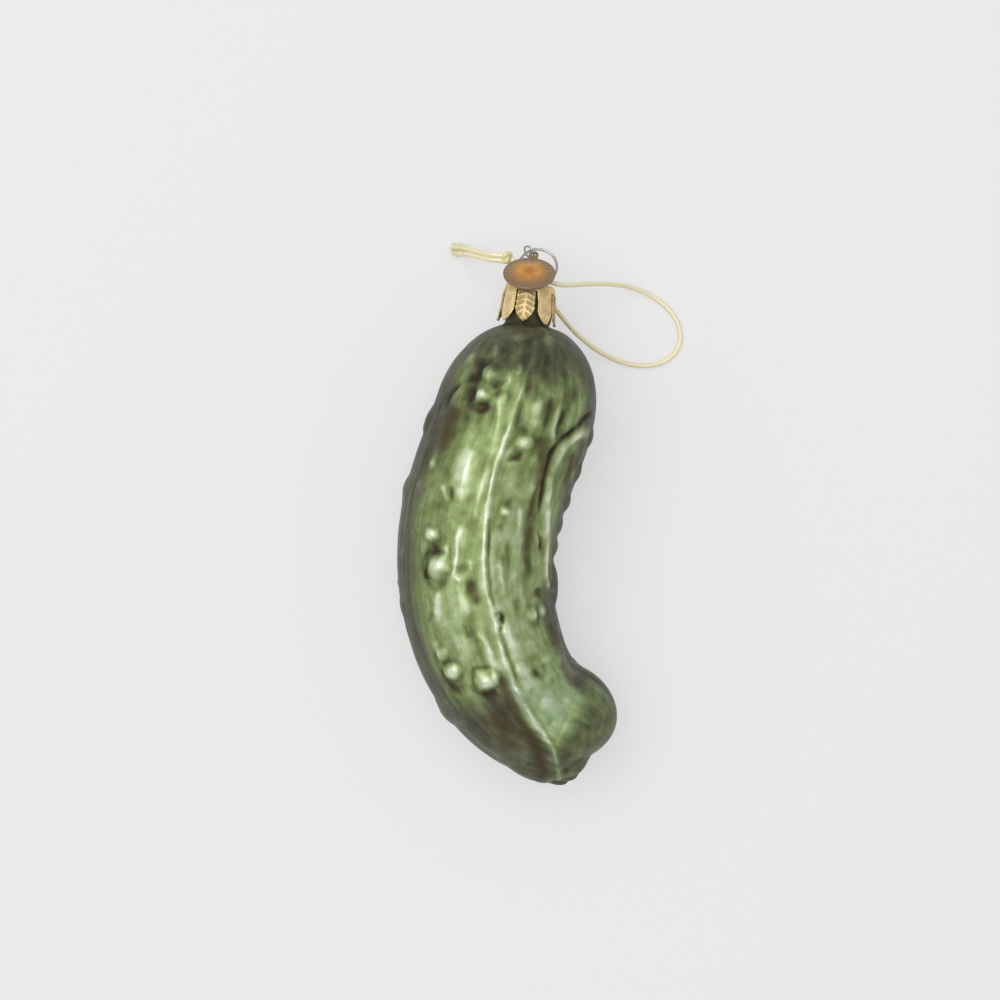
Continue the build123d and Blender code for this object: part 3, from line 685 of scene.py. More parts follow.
# the sealed end's swellings are as the warts, without a tone
tipSwells = [(101.5, -87, 2.3, 1.5), (103.4, -84, 3.4, 1.2), (104.4, -66, 5, 2.1), (95.6, -70, 7, 1.1)]
spotForm = dict(
    wobbleAlong=0.28,
    wobbleAside=0.18,
    foot=1.15,
    steep=1.5,
    paleSteep=1.3,
    paleWobble=0.5,
    rootDark=0.4,  # painted shade round the wart's foot, as a share of its pale
    rootReach=1.2,
    rootWidth=0.6,
    darkDepth=0.4,  # depth where a pit's painted shade is at its darkest
    pitDark=0.36,
)


def awayFrom(alongPlace, degreesRound):
    return np.linalg.norm(grid - skin(alongPlace, radians(degreesRound)), axis=2)


misshape = 1 + spotForm["wobbleAlong"] * wobbleAlong + spotForm["wobbleAside"] * wobbleAside
for alongPlace, degreesRound, foot, height, pale in warts:
    distance = awayFrom(alongPlace, degreesRound) * misshape
    dome = np.clip(1 - (distance / (foot * spotForm["foot"])) ** 2, 0, 1) ** spotForm["steep"]
    root = np.exp(-(((distance - foot * spotForm["rootReach"]) / spotForm["rootWidth"]) ** 2))
    relief += height * dome
    # a wart's top is painted paler, a painted highlight, and a ring round its foot darker, a painted shade
    tone += pale * dome ** spotForm["paleSteep"] * (1 + spotForm["paleWobble"] * wobbleAside)
    tone -= spotForm["rootDark"] * pale * height * root
for alongPlace, degreesRound, radius, depth, brownShare in pits:
    dip = np.exp(-((awayFrom(alongPlace, degreesRound) * misshape / radius) ** 2))
    relief -= depth * dip
    # a pit is painted darker as it deepens, a painted shade, and browner
    tone -= min(depth / spotForm["darkDepth"], 1) * spotForm["pitDark"] * dip
    brown = np.maximum(brown, brownShare * dip)
for alongPlace, degreesRound, foot, height in tipSwells:
    dome = np.clip(1 - (awayFrom(alongPlace, degreesRound) / foot) ** 2, 0, 1)
    relief += height * dome ** spotForm["steep"]
relief += uneven["streakHeight"] * streak + uneven["driftHeight"] * drift
print("relief from %.2f to %.2f mm" % (relief.min(), relief.max()))

# Painted shade: green on top between these edges (along, degrees), brown-grey flanks and a dark shoulder
# where the skin turns away from the light, green again below
shade = dict(
    left=[
        (0, -30), (6, -52), (10, -62), (16, -60), (20, -50), (26, -46), (34, -48), (40, -52), (54, -50),
        (66, -50), (72, -52), (78, -50), (82, -44), (86, -40), (90, -44), (94, -52), (98, -62), (104, -70),
    ],
    right=[
        (0, 24), (4, 40), (8, 50), (12, 60), (20, 64), (28, 62), (36, 68), (44, 70), (52, 72), (58, 66),
        (66, 54), (72, 55), (80, 56), (88, 50), (94, 41), (98, 40), (104, 40),
    ],
    soft=10.0,
    drift=9,  # degrees that the drift and the streaks push the edges aside
    streak=6,
    under=(112.0, 145.0),
    underShare=0.4,
    tip=(95.0, 101.0),
    tipFlank=(0.42, 0.08),  # how far up the skin faces there
    tipUnder=(-0.35, -0.75),
    tipWander=0.012,
    shoulder=(5.5, 18.5),
    shoulderDrift=1.8,
    shoulderStreak=1.6,
    shoulderCalm=0.55,
    shoulderFlank=0.6,
    bulge=(77.0, 87.0),
    bulgeWander=0.4,
    bulgeSide=(-14, 4),
    upper=(44, 30),
    dark=(94, 99),
    darkWander=0.2,
    lowLeft=(77.5, 82.5),
    lowLeftDrift=3,
    lowLeftSide=(2, -10),
    lowLeftSlant=1.6,  # degrees for each millimetre from its middle
    lowLeftMiddle=84,
    lowLeftTip=0.5,
    lowLeftFlank=0.78,
    rightIn=(9.0, 16.0),
    rightOut=(40.0, 30.0),
    rightStart=(26, 36),
    rightEnd=(86, 80),
    topTone=0.54,
    flankTone=0.3,
    shoulderTone=0.32,
    upperTone=-0.07,
    darkTone=-0.2,
    lowLeftTone=0.34,
    bulgeTone=0.3,
    rightTone=0.15,
    streakTone=0.16,
    driftTone=0.16,
)


def shadeStep(name, value):
    return smoothStep(*shade[name], value)


wander = drift * shade["drift"] + streak * shade["streak"]
leftEdge, rightEdge = (np.interp(along, *np.array(shade[side]).T)[:, None] for side in ("left", "right"))
flank = np.maximum(
    smoothStep(-shade["soft"], shade["soft"], leftEdge - aroundDegrees + wander),
    smoothStep(-shade["soft"], shade["soft"], aroundDegrees - rightEdge + wander),
)
# at the rounded end the painted shade follows the way that the skin faces, darker where it turns sideways, so
# nothing fans out from its pole
tipShare = shadeStep("tip", alongGrid)
facing = normals[..., 2] + wander * shade["tipWander"]
flank += (shadeStep("tipFlank", facing) - flank) * tipShare
under = shadeStep("under", np.abs(aroundDegrees) + wander)
under += (shadeStep("tipUnder", facing) - under) * tipShare
flank *= 1 - (1 - shade["underShare"]) * under
shoulderEdge = alongGrid + drift * shade["shoulderDrift"] + streak * shade["shoulderStreak"]
shoulderShade = 1 - shadeStep("shoulder", shoulderEdge)
bulge = shadeStep("bulge", alongGrid + wander * shade["bulgeWander"]) * shadeStep("bulgeSide", aroundDegrees)
bulge *= (1 - under) * (1 - tipShare)
lowLeftEdge = aroundDegrees + (alongGrid - shade["lowLeftMiddle"]) * shade["lowLeftSlant"]
lowLeft = shadeStep("lowLeft", alongGrid + drift * shade["lowLeftDrift"]) * (1 - under)
lowLeft *= shadeStep("lowLeftSide", lowLeftEdge)
lowLeft += (shade["lowLeftTip"] - lowLeft) * tipShare
rightBand = shadeStep("rightIn", aroundDegrees) * shadeStep("rightOut", aroundDegrees)
rightBand *= shadeStep("rightStart", alongGrid) * shadeStep("rightEnd", alongGrid)
baseTone = shade["topTone"] + (shade["flankTone"] - shade["topTone"]) * flank
baseTone += (shade["shoulderTone"] - baseTone) * shoulderShade
baseTone += shade["upperTone"] * shadeStep("upper", alongGrid)
baseTone += shade["darkTone"] * shadeStep("dark", alongGrid + wander * shade["darkWander"])
baseTone += (shade["lowLeftTone"] - baseTone) * lowLeft
baseTone += shade["bulgeTone"] * bulge * (1 - flank)
baseTone += shade["rightTone"] * rightBand
# the streaks and the drift also paint the lacquer lighter where they lift it: partly tone that differs at
# random, partly painted highlight on the relief
unevenTone = shade["streakTone"] * streak + shade["driftTone"] * drift
tone += baseTone + unevenTone * (1 - shade["shoulderCalm"] * shoulderShade)
# the shoulder's painted shade and the brown low-left patch take the flank's darker colours too
flank = np.maximum(flank, np.maximum(shade["shoulderFlank"] * shoulderShade, shade["lowLeftFlank"] * lowLeft))

outer = grid + normals * relief[..., None]
# rows from the dome's edge up to the neck's rim, over it, down the bore and along the inside
domeEdge, domeNext = outer[0], outer[1]
domeWay = domeEdge - domeNext
domeWay /= np.linalg.norm(domeWay, axis=1)[:, None]
neckMiddle = np.array([capTop[0], shoulderY, capTop[2]])
neckRing = np.stack([np.sin(around), np.zeros_like(around), np.cos(around)], axis=1)
neckFoot = neckMiddle + neckRing * pickle["neck"] / 2 + np.array([0, pickle["filletRise"], 0])
pull = np.linalg.norm(neckFoot - domeEdge, axis=1)[:, None] * pickle["filletPull"]
firstPull, secondPull = domeEdge + domeWay * pull, neckFoot - np.array([0, 1.0, 0]) * pull
fillet = []
for t in np.linspace(0, 1, pickle["filletRows"] + 1)[1:]:
    fromDome = (1 - t) ** 3 * domeEdge + 3 * (1 - t) ** 2 * t * firstPull
    fillet.append(fromDome + 3 * (1 - t) * t**2 * secondPull + t**3 * neckFoot)
neckWall = pickle["wall"]
neckRise = np.array([0, pickle["neckLength"] - pickle["filletRise"] - pickle["lipHeight"], 0])
neckTube = [neckFoot + neckRise * t for t in np.linspace(0, 1, pickle["neckRows"] + 1)[1:]]
rimMiddle = neckMiddle + np.array([0, pickle["neckLength"], 0])
# in from the neck's skin, and up
lip = [(0.0, -0.12), (-0.12, 0.0), (-0.4, 0.03), (-0.68, 0.0), (-neckWall, -0.12)]
rim = [rimMiddle + neckRing * (pickle["neck"] / 2 + inward) + np.array([0, rise, 0]) for inward, rise in lip]
boreRadius = pickle["neck"] / 2 - neckWall
boreDrops = (*pickle["boreDrops"], pickle["neckLength"])
bore = [rimMiddle + neckRing * boreRadius - np.array([0, drop, 0]) for drop in boreDrops]
innerTurn = np.linspace(0, pi, pickle["innerRows"] + 2)[1:-1]
innerAlong = neckWall + (spineLength - 2 * neckWall) * (1 - np.cos(innerTurn)) / 2
innerAlong = innerAlong[girth(innerAlong, neckWall) > boreRadius * pickle["boreRoom"]]
inner = [skin(place, around, neckWall) for place in innerAlong]
outside = [outer[row] for row in range(len(along) - 1, -1, -1)] + fillet + neckTube
inside = rim + bore + inner
rows = outside + inside
flat, tipHeight = (1, 1, 0), np.array([0, 0, pickle["bulb"] / 2])
nearEnd = np.array(spineLength - tiny)
tipEnd = skin(nearEnd, 0.0) * flat + tipHeight
innerEnd = skin(nearEnd - neckWall, 0.0, neckWall) * flat + tipHeight
columns = pickle["columns"]
pointCount = len(rows) * columns
faces = gridFaces(len(rows), columns) + fanFaces(pointCount, 0, columns, flip=True)
faces += fanFaces(pointCount + 1, pointCount - columns, columns)
pickleGlass = addMesh(
    "pickleGlass", np.vstack([*rows, tipEnd[None], innerEnd[None]]), faces, "pickle", "lacquered_glass"
)
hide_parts("glass_pickle")


def overRows(values, neckValue, tipValue):
    # a value for each point of the mesh: the skin's own, on to the neck's, and none inside
    share = np.linspace(0, 1, len(fillet) + len(neckTube))[:, None]
    parts = [values[::-1], values[0] * (1 - share) + neckValue * share, np.zeros((len(inside), columns))]
    return np.concatenate([np.vstack(parts).ravel(), [tipValue, 0]])


# cells of the lacquer's brushed grain for each millimetre, and the share of it that the bulge loses
brush = dict(around=0.62, along=0.1, bulgeLoss=0.8)
brushShare = (1 - brush["bulgeLoss"] * bulge) * poleFade[:, None]
# the neck under the cap takes a low tone and the flank's full darker colours: painted shadow of the cap
for field, values, neckValue, tipValue in (
    ("tone", tone, 0.12, 0.4),
    ("flank", flank, 1.0, 0.6),
    ("brown", brown, 0.0, 0.0),
    ("bulge", bulge, 0.0, 0.5),
    ("brushShare", brushShare, 1.0, 0.0),
):
    addValues(pickleGlass, field, overRows(values, neckValue, tipValue))
ringReach = np.broadcast_to(np.maximum(rowGirth, pickle["neck"] / 2) * brush["around"], relief.shape)
brushed = [ringReach * np.sin(around), ringReach * np.cos(around), alongGrid * brush["along"]]
brushed = [overRows(part, part[0], 0) for part in brushed]
addValues(pickleGlass, "skinPlace", np.stack(brushed, axis=1), "FLOAT_VECTOR")
print("pickle skin,", len(pickleGlass.data.vertices), "points")

# Crown cap: one sheet from its hole over the rounded edge and down into pointed petals
crown = dict(
    top=10.2,
    flare=0.85,
    height=8.2,
    hole=2.4,
    edge=0.5,
    sheet=0.28,
    petals=8,
    firstPetal=-7.0,
    slit=0.35,
    slitTop=1.4,
    point=2.5,
    columns=20,
    topRows=9,
    edgeRows=6,
    coneRows=4,
    petalRows=44,
    leastHalf=0.03,
    roundShare=0.55,  # of the point's sides, and the rest is straight
    fadeIn=(0.0, 0.12),  # share of the way down the petal, as fadeOut and bowStart
    fadeOut=(0.93, 1.0),
    fadeLoss=0.5,
    midrib=0.22,
    ribWidth=0.11,
    veins=0.19,
    veinCount=5.5,
    veinSlant=0.75,
    veinWidth=0.17,
    veinStart=(0.05, 0.2),  # across the half petal
    border=(0.8, 0.97),
    borderHeight=1.1,  # of the veins' height
    bow=0.16,
    bowStart=(0.0, 0.4),
    lines=0.025,
    lineCount=3.5,
    shift=[0.0, 5.0, 3.0, 1.0, 0.5, 2.0, -1.0, -0.5],  # degrees that each petal stands aside at its tip
    shiftEase=3.0,
)
petalPitch = 2 * pi / crown["petals"]
topRadius, tipRadius = crown["top"] / 2, crown["top"] / 2 + crown["flare"]


def coneRadius(drop):
    return topRadius + crown["flare"] * drop / crown["height"]


topRadii = np.linspace(crown["hole"] / 2, topRadius - crown["edge"], crown["topRows"])
profile = [(radius, 0.0) for radius in topRadii]
profile += [
    (topRadius - crown["edge"] * (1 - sin(turn)), crown["edge"] * (1 - cos(turn)))
    for turn in np.linspace(0, pi / 2, crown["edgeRows"])[1:]
]
coneDrops = np.linspace(crown["edge"], crown["slitTop"], crown["coneRows"])[1:]
profile += [(coneRadius(drop), drop) for drop in coneDrops]
petalDrops = np.linspace(crown["slitTop"], crown["height"], crown["petalRows"] + 1)[1:]
acrossPetal = np.linspace(-1, 1, crown["columns"])
tipHalf = tipRadius * sin(petalPitch / 2)
ogive = ((tipHalf - crown["slit"] / 2) ** 2 + crown["point"] ** 2) / (2 * (tipHalf - crown["slit"] / 2))


def petalHalf(drop):
    # half width of a petal at this drop: full, then closing in to its point
    full = coneRadius(drop) * petalPitch / 2 - crown["slit"] / 2
    down = max(drop - (crown["height"] - crown["point"]), 0.0)
    rounded = ogive - np.sqrt(max(ogive**2 - down**2, 0))
    straight = down / crown["point"] * (tipHalf - crown["slit"] / 2)
    closing = crown["roundShare"] * rounded + (1 - crown["roundShare"]) * straight
    return max(full - closing, crown["leastHalf"])


def petalRelief(across, drop, petal):
    # every second petal is a stamped leaf, the others are plain with a few lengthwise lines
    share = (drop - crown["slitTop"]) / (crown["height"] - crown["slitTop"])
    aside = np.abs(across)
    fade = smoothStep(*crown["fadeIn"], share)
    fade *= 1 - smoothStep(*crown["fadeOut"], share) * crown["fadeLoss"]
    rib = crown["midrib"] * np.exp(-((across / crown["ribWidth"]) ** 2))
    vein = (share * crown["veinCount"] - aside * crown["veinSlant"]) % 1.0 - 0.5
    leaf = crown["veins"] * np.exp(-((vein / crown["veinWidth"]) ** 2))
    leaf *= smoothStep(*crown["veinStart"], aside)
    border = crown["veins"] * crown["borderHeight"] * smoothStep(*crown["border"], aside)
    bow = crown["bow"] * across**2 * smoothStep(*crown["bowStart"], share)
    if petal % 2:
        return fade * (crown["lines"] * np.cos(across * pi * crown["lineCount"]) - bow)
    return fade * (rib + leaf + border - bow)


def capRing(radius, drop, angles):
    level = np.full(angles.shape, capTop[1] - drop)
    return np.stack([capTop[0] + radius * np.sin(angles), level, capTop[2] + radius * np.cos(angles)], axis=1)


petals = range(crown["petals"])
petalMiddles = radians(crown["firstPetal"]) + np.array(petals) * petalPitch
topHalf = petalPitch / 2 - crown["slit"] / 2 / coneRadius(crown["slitTop"])
ringAngles = np.concatenate([middle + acrossPetal * topHalf for middle in petalMiddles])
capColumns = len(ringAngles)
capRows = [capRing(radius, drop, ringAngles) for radius, drop in profile]
petalLift = np.zeros((len(profile) + len(petalDrops), capColumns))
for row, drop in enumerate(petalDrops, len(profile)):
    shiftShare = smoothStep(crown["slitTop"], crown["slitTop"] + crown["shiftEase"], drop)
    middles = petalMiddles + np.radians(crown["shift"]) * shiftShare
    spread = acrossPetal * petalHalf(drop) / coneRadius(drop)
    petalLift[row] = np.concatenate([petalRelief(acrossPetal, drop, petal) for petal in petals])
    angles = np.concatenate([middle + spread for middle in middles])
    capRows.append(capRing(coneRadius(drop) + petalLift[row], drop, angles))
capFaces = []
for face in gridFaces(len(capRows), capColumns):
    below = face[2] // capColumns >= len(profile)
    acrossGap = (face[0] % capColumns) % crown["columns"] == crown["columns"] - 1
    if not (below and acrossGap):
        capFaces.append(face)
crownCap = addMesh("crownCap", np.vstack(capRows), capFaces, "cap", "gold_cap")
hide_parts("crown_cap")
thick = crownCap.modifiers.new("sheet", "SOLIDIFY")
thick.thickness = crown["sheet"] * mm
thick.offset = -1.0
thick.use_even_offset = True
petalPlace, stampedLeaf = np.zeros_like(petalLift), np.zeros_like(petalLift)
petalPlace[len(profile):] = np.linspace(0, 1, len(petalDrops) + 1)[1:, None]
stampedLeaf[len(profile):] = np.repeat([1 - petal % 2 for petal in petals], crown["columns"])
addValues(crownCap, "petalPlace", petalPlace)
addValues(crownCap, "petalLift", petalLift)
addValues(crownCap, "stampedLeaf", stampedLeaf)
print("crown cap,", crown["petals"], "petals")

# Charm: domed sunburst disc with a tab, hung by a ring from the wire's loop
charm = dict(
    diameter=11.3,
    sheet=0.5,
    dome=0.9,
    rim=0.7,
    hub=2.6,
    hubRise=0.1,
    hubDome=0.12,
    hubEdge=(-0.12, 0.1),  # from the hub's rim
    hubGap=(0.25, 0.35),
    hubRows=12,
    domeRows=30,
    backRows=8,
    backEdge=0.6,
    pole=0.08,  # smallest ring of the disc
    rays=20,
    rayDepth=0.13,
    rayStart=0.3,
    rayEase=0.5,
    rayEnd=0.8,
    rayLoss=0.75,
    tab=2.1,
    tabColumns=64,
    tabOverlap=0.2,
    tabReach=1.05,  # the finish's place on the tab, past the disc's rim
    hole=1.1,
    holeReach=7.1,
    swing=8.5,
    columns=240,
    edge=0.1,
)
charmHole = np.array(joints["charm_sway"]["pos_m"]) / mm
charmFace = unit(joints["charm_sway"]["axis"])
charmAside = unit(np.cross(charmFace, upward))
charmTabward = np.cross(charmFace, charmAside)
swing = radians(charm["swing"])
charmUp = charmTabward * cos(swing) + charmAside * sin(swing)
charmAcross = charmAside * cos(swing) - charmTabward * sin(swing)
charmMiddle = charmHole - charmUp * charm["holeReach"]


def charmPlace(across, upwards, lift):
    places = np.stack(np.broadcast_arrays(across, upwards, lift), axis=-1)
    return charmMiddle + places @ np.array([charmAcross, charmUp, charmFace])


def roundPlaces(radius, turns, lift, reach=0.0):
    return charmPlace(radius * np.cos(turns), reach + radius * np.sin(turns), lift)


discRadius, discHalf = charm["diameter"] / 2, charm["sheet"] / 2
domeRadius, hubRadius = discRadius - charm["rim"], charm["hub"] / 2
hubTop = discHalf + charm["dome"] + charm["hubRise"]
discColumns = charm["columns"]
discTurns = np.linspace(0, 2 * pi, discColumns, endpoint=False)
rays = 0.5 + 0.5 * np.cos(discTurns * charm["rays"])
hubEnd, domeStart = (hubRadius + gap for gap in charm["hubGap"])
discRadii = [
    *np.linspace(charm["pole"], hubEnd, charm["hubRows"]),
    *np.linspace(domeStart, domeRadius, charm["domeRows"]),
]
discRows = []
for radius in discRadii:
    height = discHalf + charm["dome"] * (1 - (radius / domeRadius) ** 2)
    hubShare = 1 - smoothStep(*(hubRadius + edge for edge in charm["hubEdge"]), radius)
    height += (hubTop - charm["hubDome"] * (radius / hubRadius) ** 2 - height) * hubShare
    rayStart = charm["rayStart"] * domeRadius
    window = smoothStep(rayStart, rayStart + charm["rayEase"], radius)
    window *= 1 - charm["rayLoss"] * smoothStep(domeRadius * charm["rayEnd"], domeRadius, radius)
    discRows.append(roundPlaces(radius, discTurns, height - charm["rayDepth"] * rays**2 * window))
outline = [
    (domeRadius + 0.15, discHalf - 0.02),
    (domeRadius + 0.3, discHalf - 0.01),
    (discRadius - 0.3, discHalf - 0.01),
    (discRadius - 0.1, discHalf - 0.03),
    (discRadius, discHalf - 0.1),
    (discRadius, 0.1 - discHalf),
    (discRadius - 0.1, -discHalf),
]
backRadii = np.linspace(discRadius - charm["backEdge"], charm["pole"], charm["backRows"])
for radius, lift in outline + [(radius, -discHalf) for radius in backRadii]:
    discRows.append(roundPlaces(radius, discTurns, lift))
    discRadii.append(radius)
centre = len(discRows) * discColumns
discFaces = gridFaces(len(discRows), discColumns, flip=True) + fanFaces(centre, 0, discColumns)
discFaces += fanFaces(centre + 1, centre - discColumns, discColumns, flip=True)
discMiddles = [charmPlace(0.0, 0.0, lift)[None] for lift in (hubTop, -discHalf)]
# tab: a flat eye that runs down into the disc's rim
tabColumns = charm["tabColumns"]
tabTurns = np.linspace(0, 2 * pi, tabColumns, endpoint=False)
tabHalf, edge = charm["tab"] / 2, charm["edge"]
towardsDisc = np.maximum(-np.sin(tabTurns), tiny)
sideReach = tabHalf / np.maximum(np.abs(np.cos(tabTurns)), tiny)
downReach = (charm["holeReach"] - domeRadius - charm["tabOverlap"]) / towardsDisc
tabReach = np.where(np.sin(tabTurns) < 0, np.minimum(sideReach, downReach), tabHalf)
holeReach = np.full(tabColumns, charm["hole"] / 2)
section = [
    (holeReach + edge, discHalf),
    (tabReach - edge, discHalf),
    (tabReach, discHalf - edge),
    (tabReach, edge - discHalf),
    (tabReach - edge, -discHalf),
    (holeReach + edge, -discHalf),
    (holeReach, edge - discHalf),
    (holeReach, discHalf - edge),
]
tabRows = [roundPlaces(reach, tabTurns, lift, charm["holeReach"]) for reach, lift in section]
tabStart = centre + len(discMiddles)
lastTab = tabStart + (len(section) - 1) * tabColumns
tabFaces = gridFaces(len(section), tabColumns, tabStart, flip=True)
for column in range(tabColumns):
    after = (column + 1) % tabColumns
    tabFaces.append((lastTab + column, tabStart + column, tabStart + after, lastTab + after))
charmPoints = np.vstack(discRows + discMiddles + tabRows)
charmDisc = addMesh("charmDisc", charmPoints, discFaces + tabFaces, "charm", "charm_gold")
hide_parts("charm_disc")
tabValues = np.ones(len(section) * tabColumns)
discReach = np.repeat(np.array(discRadii) / discRadius, discColumns)
addValues(charmDisc, "reach", np.concatenate([discReach, [0, 0], tabValues * charm["tabReach"]]))
addValues(charmDisc, "ray", np.concatenate([np.tile(rays, len(discRows)), [0, 0], tabValues * 0]))

# Ring: a bent wire with a butt joint
ringForm = dict(radius=1.4, wire=0.4, gap=14.0, gapPlace=150.0, steps=72, sides=16)
ringSeat = np.array(joints["ring_swing"]["pos_m"]) / mm
ringInward = unit(ringSeat - charmHole)
ringMiddle = charmHole + ringInward * ringForm["radius"]
ringEnd = ringForm["gapPlace"] + 360 - ringForm["gap"]
ringTurns = np.radians(np.linspace(ringForm["gapPlace"], ringEnd, ringForm["steps"]))
ringAway = unit(charmFace - ringInward * (charmFace @ ringInward))
ringWays = np.outer(np.cos(ringTurns), ringInward) + np.outer(np.sin(ringTurns), ringAway)
ringRadii = np.full(ringForm["steps"], ringForm["wire"] / 2)
ringTube = tubeMesh(ringMiddle + ringForm["radius"] * ringWays, ringRadii, ringForm["sides"])
charmRing = addMesh("charmRing", *ringTube, "ring", "wire_steel")
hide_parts("charm_ring")
print("charm and ring hung")


# Shaders
def feed(tree, node, sockets):
    # link what comes from another node, and set the rest
    for name, value in sockets.items():
        if isinstance(value, bpy.types.NodeSocket):
            tree.links.new(value, node.inputs[name])
        else:
            node.inputs[name].default_value = value


def addNode(tree, kind, settings=None, sockets=None):
    node = tree.nodes.new("ShaderNode" + kind)
    for name, value in (settings or {}).items():
        setattr(node, name, value)
    feed(tree, node, sockets or {})
    return node


def mixColour(tree, factor, first, second):
    return addNode(tree, "Mix", dict(data_type="RGBA"), {0: factor, 6: first, 7: second}).outputs[2]


def mathNode(tree, operation, first, second, clamp=False):
    settings = dict(operation=operation, use_clamp=clamp)
    return addNode(tree, "Math", settings, {0: first, 1: second}).outputs[0]


def product(tree, first, second):
    return mathNode(tree, "MULTIPLY", first, second)


def total(tree, first, second):
    return mathNode(tree, "ADD", first, second)


def remap(tree, value, low, high, newLow, newHigh):
    names = ("From Min", "From Max", "To Min", "To Max")
    inputs = dict(zip(names, (low, high, newLow, newHigh)), Value=value)
    return addNode(tree, "MapRange", dict(clamp=True), inputs).outputs["Result"]


def meshValue(tree, name):
    return addNode(tree, "Attribute", dict(attribute_name=name)).outputs["Fac"]


def newMaterial(name, sockets):
    material = bpy.data.materials.new(name)
    material.use_nodes = True
    surface = material.node_tree.nodes["Principled BSDF"]
    feed(material.node_tree, surface, sockets)
    return material, material.node_tree, surface


def newGroup(name, inputs, outputs):
    group = bpy.data.node_groups.new(name, "ShaderNodeTree")
    for socket, kind, value in inputs:
        group.interface.new_socket(socket, in_out="INPUT", socket_type=kind).default_value = value
    for socket, kind in outputs:
        group.interface.new_socket(socket, in_out="OUTPUT", socket_type=kind)
    return group, group.nodes.new("NodeGroupInput"), group.nodes.new("NodeGroupOutput")


# speckle and patchy drift in a finish: a fine grain and a broad cloud, from the object's own places
grainGroup, grainIn, grainOut = newGroup(
    "finishGrain",
    [("Fine Scale", "NodeSocketFloat", 1500.0), ("Broad Scale", "NodeSocketFloat", 180.0)],
    [("Fine", "NodeSocketFloat"), ("Broad", "NodeSocketFloat")],
)
grainPlace = addNode(grainGroup, "TexCoord").outputs["Object"]
for scaleName, outName, detail in (("Fine Scale", "Fine", 3.0), ("Broad Scale", "Broad", 4.0)):
    cloud = addNode(
        grainGroup, "TexNoise", None,
        dict(Vector=grainPlace, Scale=grainIn.outputs[scaleName], Detail=detail, Roughness=0.6),
    )
    grainGroup.links.new(cloud.outputs["Fac"], grainOut.inputs[outName])


def finishGrain(tree, fine, broad):
    scales = {"Fine Scale": fine, "Broad Scale": broad}
    node = addNode(tree, "Group", dict(node_tree=grainGroup), scales)
    return node.outputs["Fine"], node.outputs["Broad"]


def addBump(tree, surface, height, strength, distance):
    bump = addNode(tree, "Bump", None, dict(Height=height, Strength=strength, Distance=distance * mm))
    feed(tree, surface, {"Normal": bump.outputs["Normal"]})


# Green lacquer over silvered glass: the drawn tone picks the colour, on top and, from a darker and greyer
# ramp of painted shade, on the flanks
lacquer = dict(
    top=[
        (0.0, (50, 46, 32)), (0.2, (82, 83, 58)), (0.4, (112, 126, 78)), (0.55, (138, 154, 100)),
        (0.72, (166, 182, 134)), (0.88, (198, 210, 174)), (1.0, (224, 231, 206)),
    ],
    # painted shade: the same lacquer, darker and greyer, for the flanks
    flank=[
        (0.0, (48, 46, 38)), (0.3, (82, 82, 66)), (0.55, (112, 112, 94)), (0.8, (156, 160, 140)),
        (1.0, (196, 199, 180)),
    ],
    brown=paint(76, 64, 38),
    brownShare=0.7,
    bulge=paint(130, 163, 115),
    speck=paint(58, 58, 38),
)


def toneRamp(tree, value, stops):
    ramp = addNode(tree, "ValToRGB", None, dict(Fac=value))
    band = ramp.color_ramp
    while len(band.elements) < len(stops):
        band.elements.new(0.5)
    for element, (place, colour) in zip(band.elements, stops):
        element.position, element.color = place, paint(*colour)
    return ramp.outputs["Color"]


lacquerMaterial, tree, surface = newMaterial("greenLacquer", {"Roughness": 0.42, "Specular IOR Level": 0.18})
fine, broad = finishGrain(tree, 1900.0, 300.0)
skinPlace = addNode(tree, "Attribute", dict(attribute_name="skinPlace")).outputs["Vector"]
brushGrain = dict(Vector=skinPlace, Scale=1.0, Detail=4.0, Roughness=0.62)
brushed = addNode(tree, "TexNoise", None, brushGrain).outputs["Fac"]
# the grain is brushed, but mottled on the bulge and the rounded end
brushShare = meshValue(tree, "brushShare")
brushedTone = product(tree, remap(tree, brushed, 0.25, 0.75, -0.12, 0.12), brushShare)
mottle = remap(tree, broad, 0.3, 0.7, -1.0, 1.0)
mottledTone = product(tree, mottle, remap(tree, brushShare, 0.0, 1.0, 0.13, 0.06))
toneValue = total(tree, meshValue(tree, "tone"), total(tree, brushedTone, mottledTone))
bulgeShare = product(tree, meshValue(tree, "bulge"), remap(tree, broad, 0.35, 0.65, 0.2, 0.75))
brownShare = product(tree, meshValue(tree, "brown"), lacquer["brownShare"])
flankShare = meshValue(tree, "flank")
colour = mixColour(tree, bulgeShare, toneRamp(tree, toneValue, lacquer["top"]), lacquer["bulge"])
# the flanks' darker ramp and lower metal stand for painted shade down the sides
colour = mixColour(tree, flankShare, colour, toneRamp(tree, toneValue, lacquer["flank"]))
colour = mixColour(tree, brownShare, colour, lacquer["brown"])
colour = mixColour(tree, remap(tree, fine, 0.34, 0.6, 0.13, 0.0), colour, lacquer["speck"])
feed(tree, surface, {
    "Base Color": colour,
    "Metallic": remap(tree, flankShare, 0.0, 1.0, 0.45, 0.1),
    "Roughness": remap(tree, broad, 0.3, 0.7, 0.36, 0.5),
})
addBump(tree, surface, broad, 0.2, 0.15)
pickleGlass.data.materials.append(lacquerMaterial)

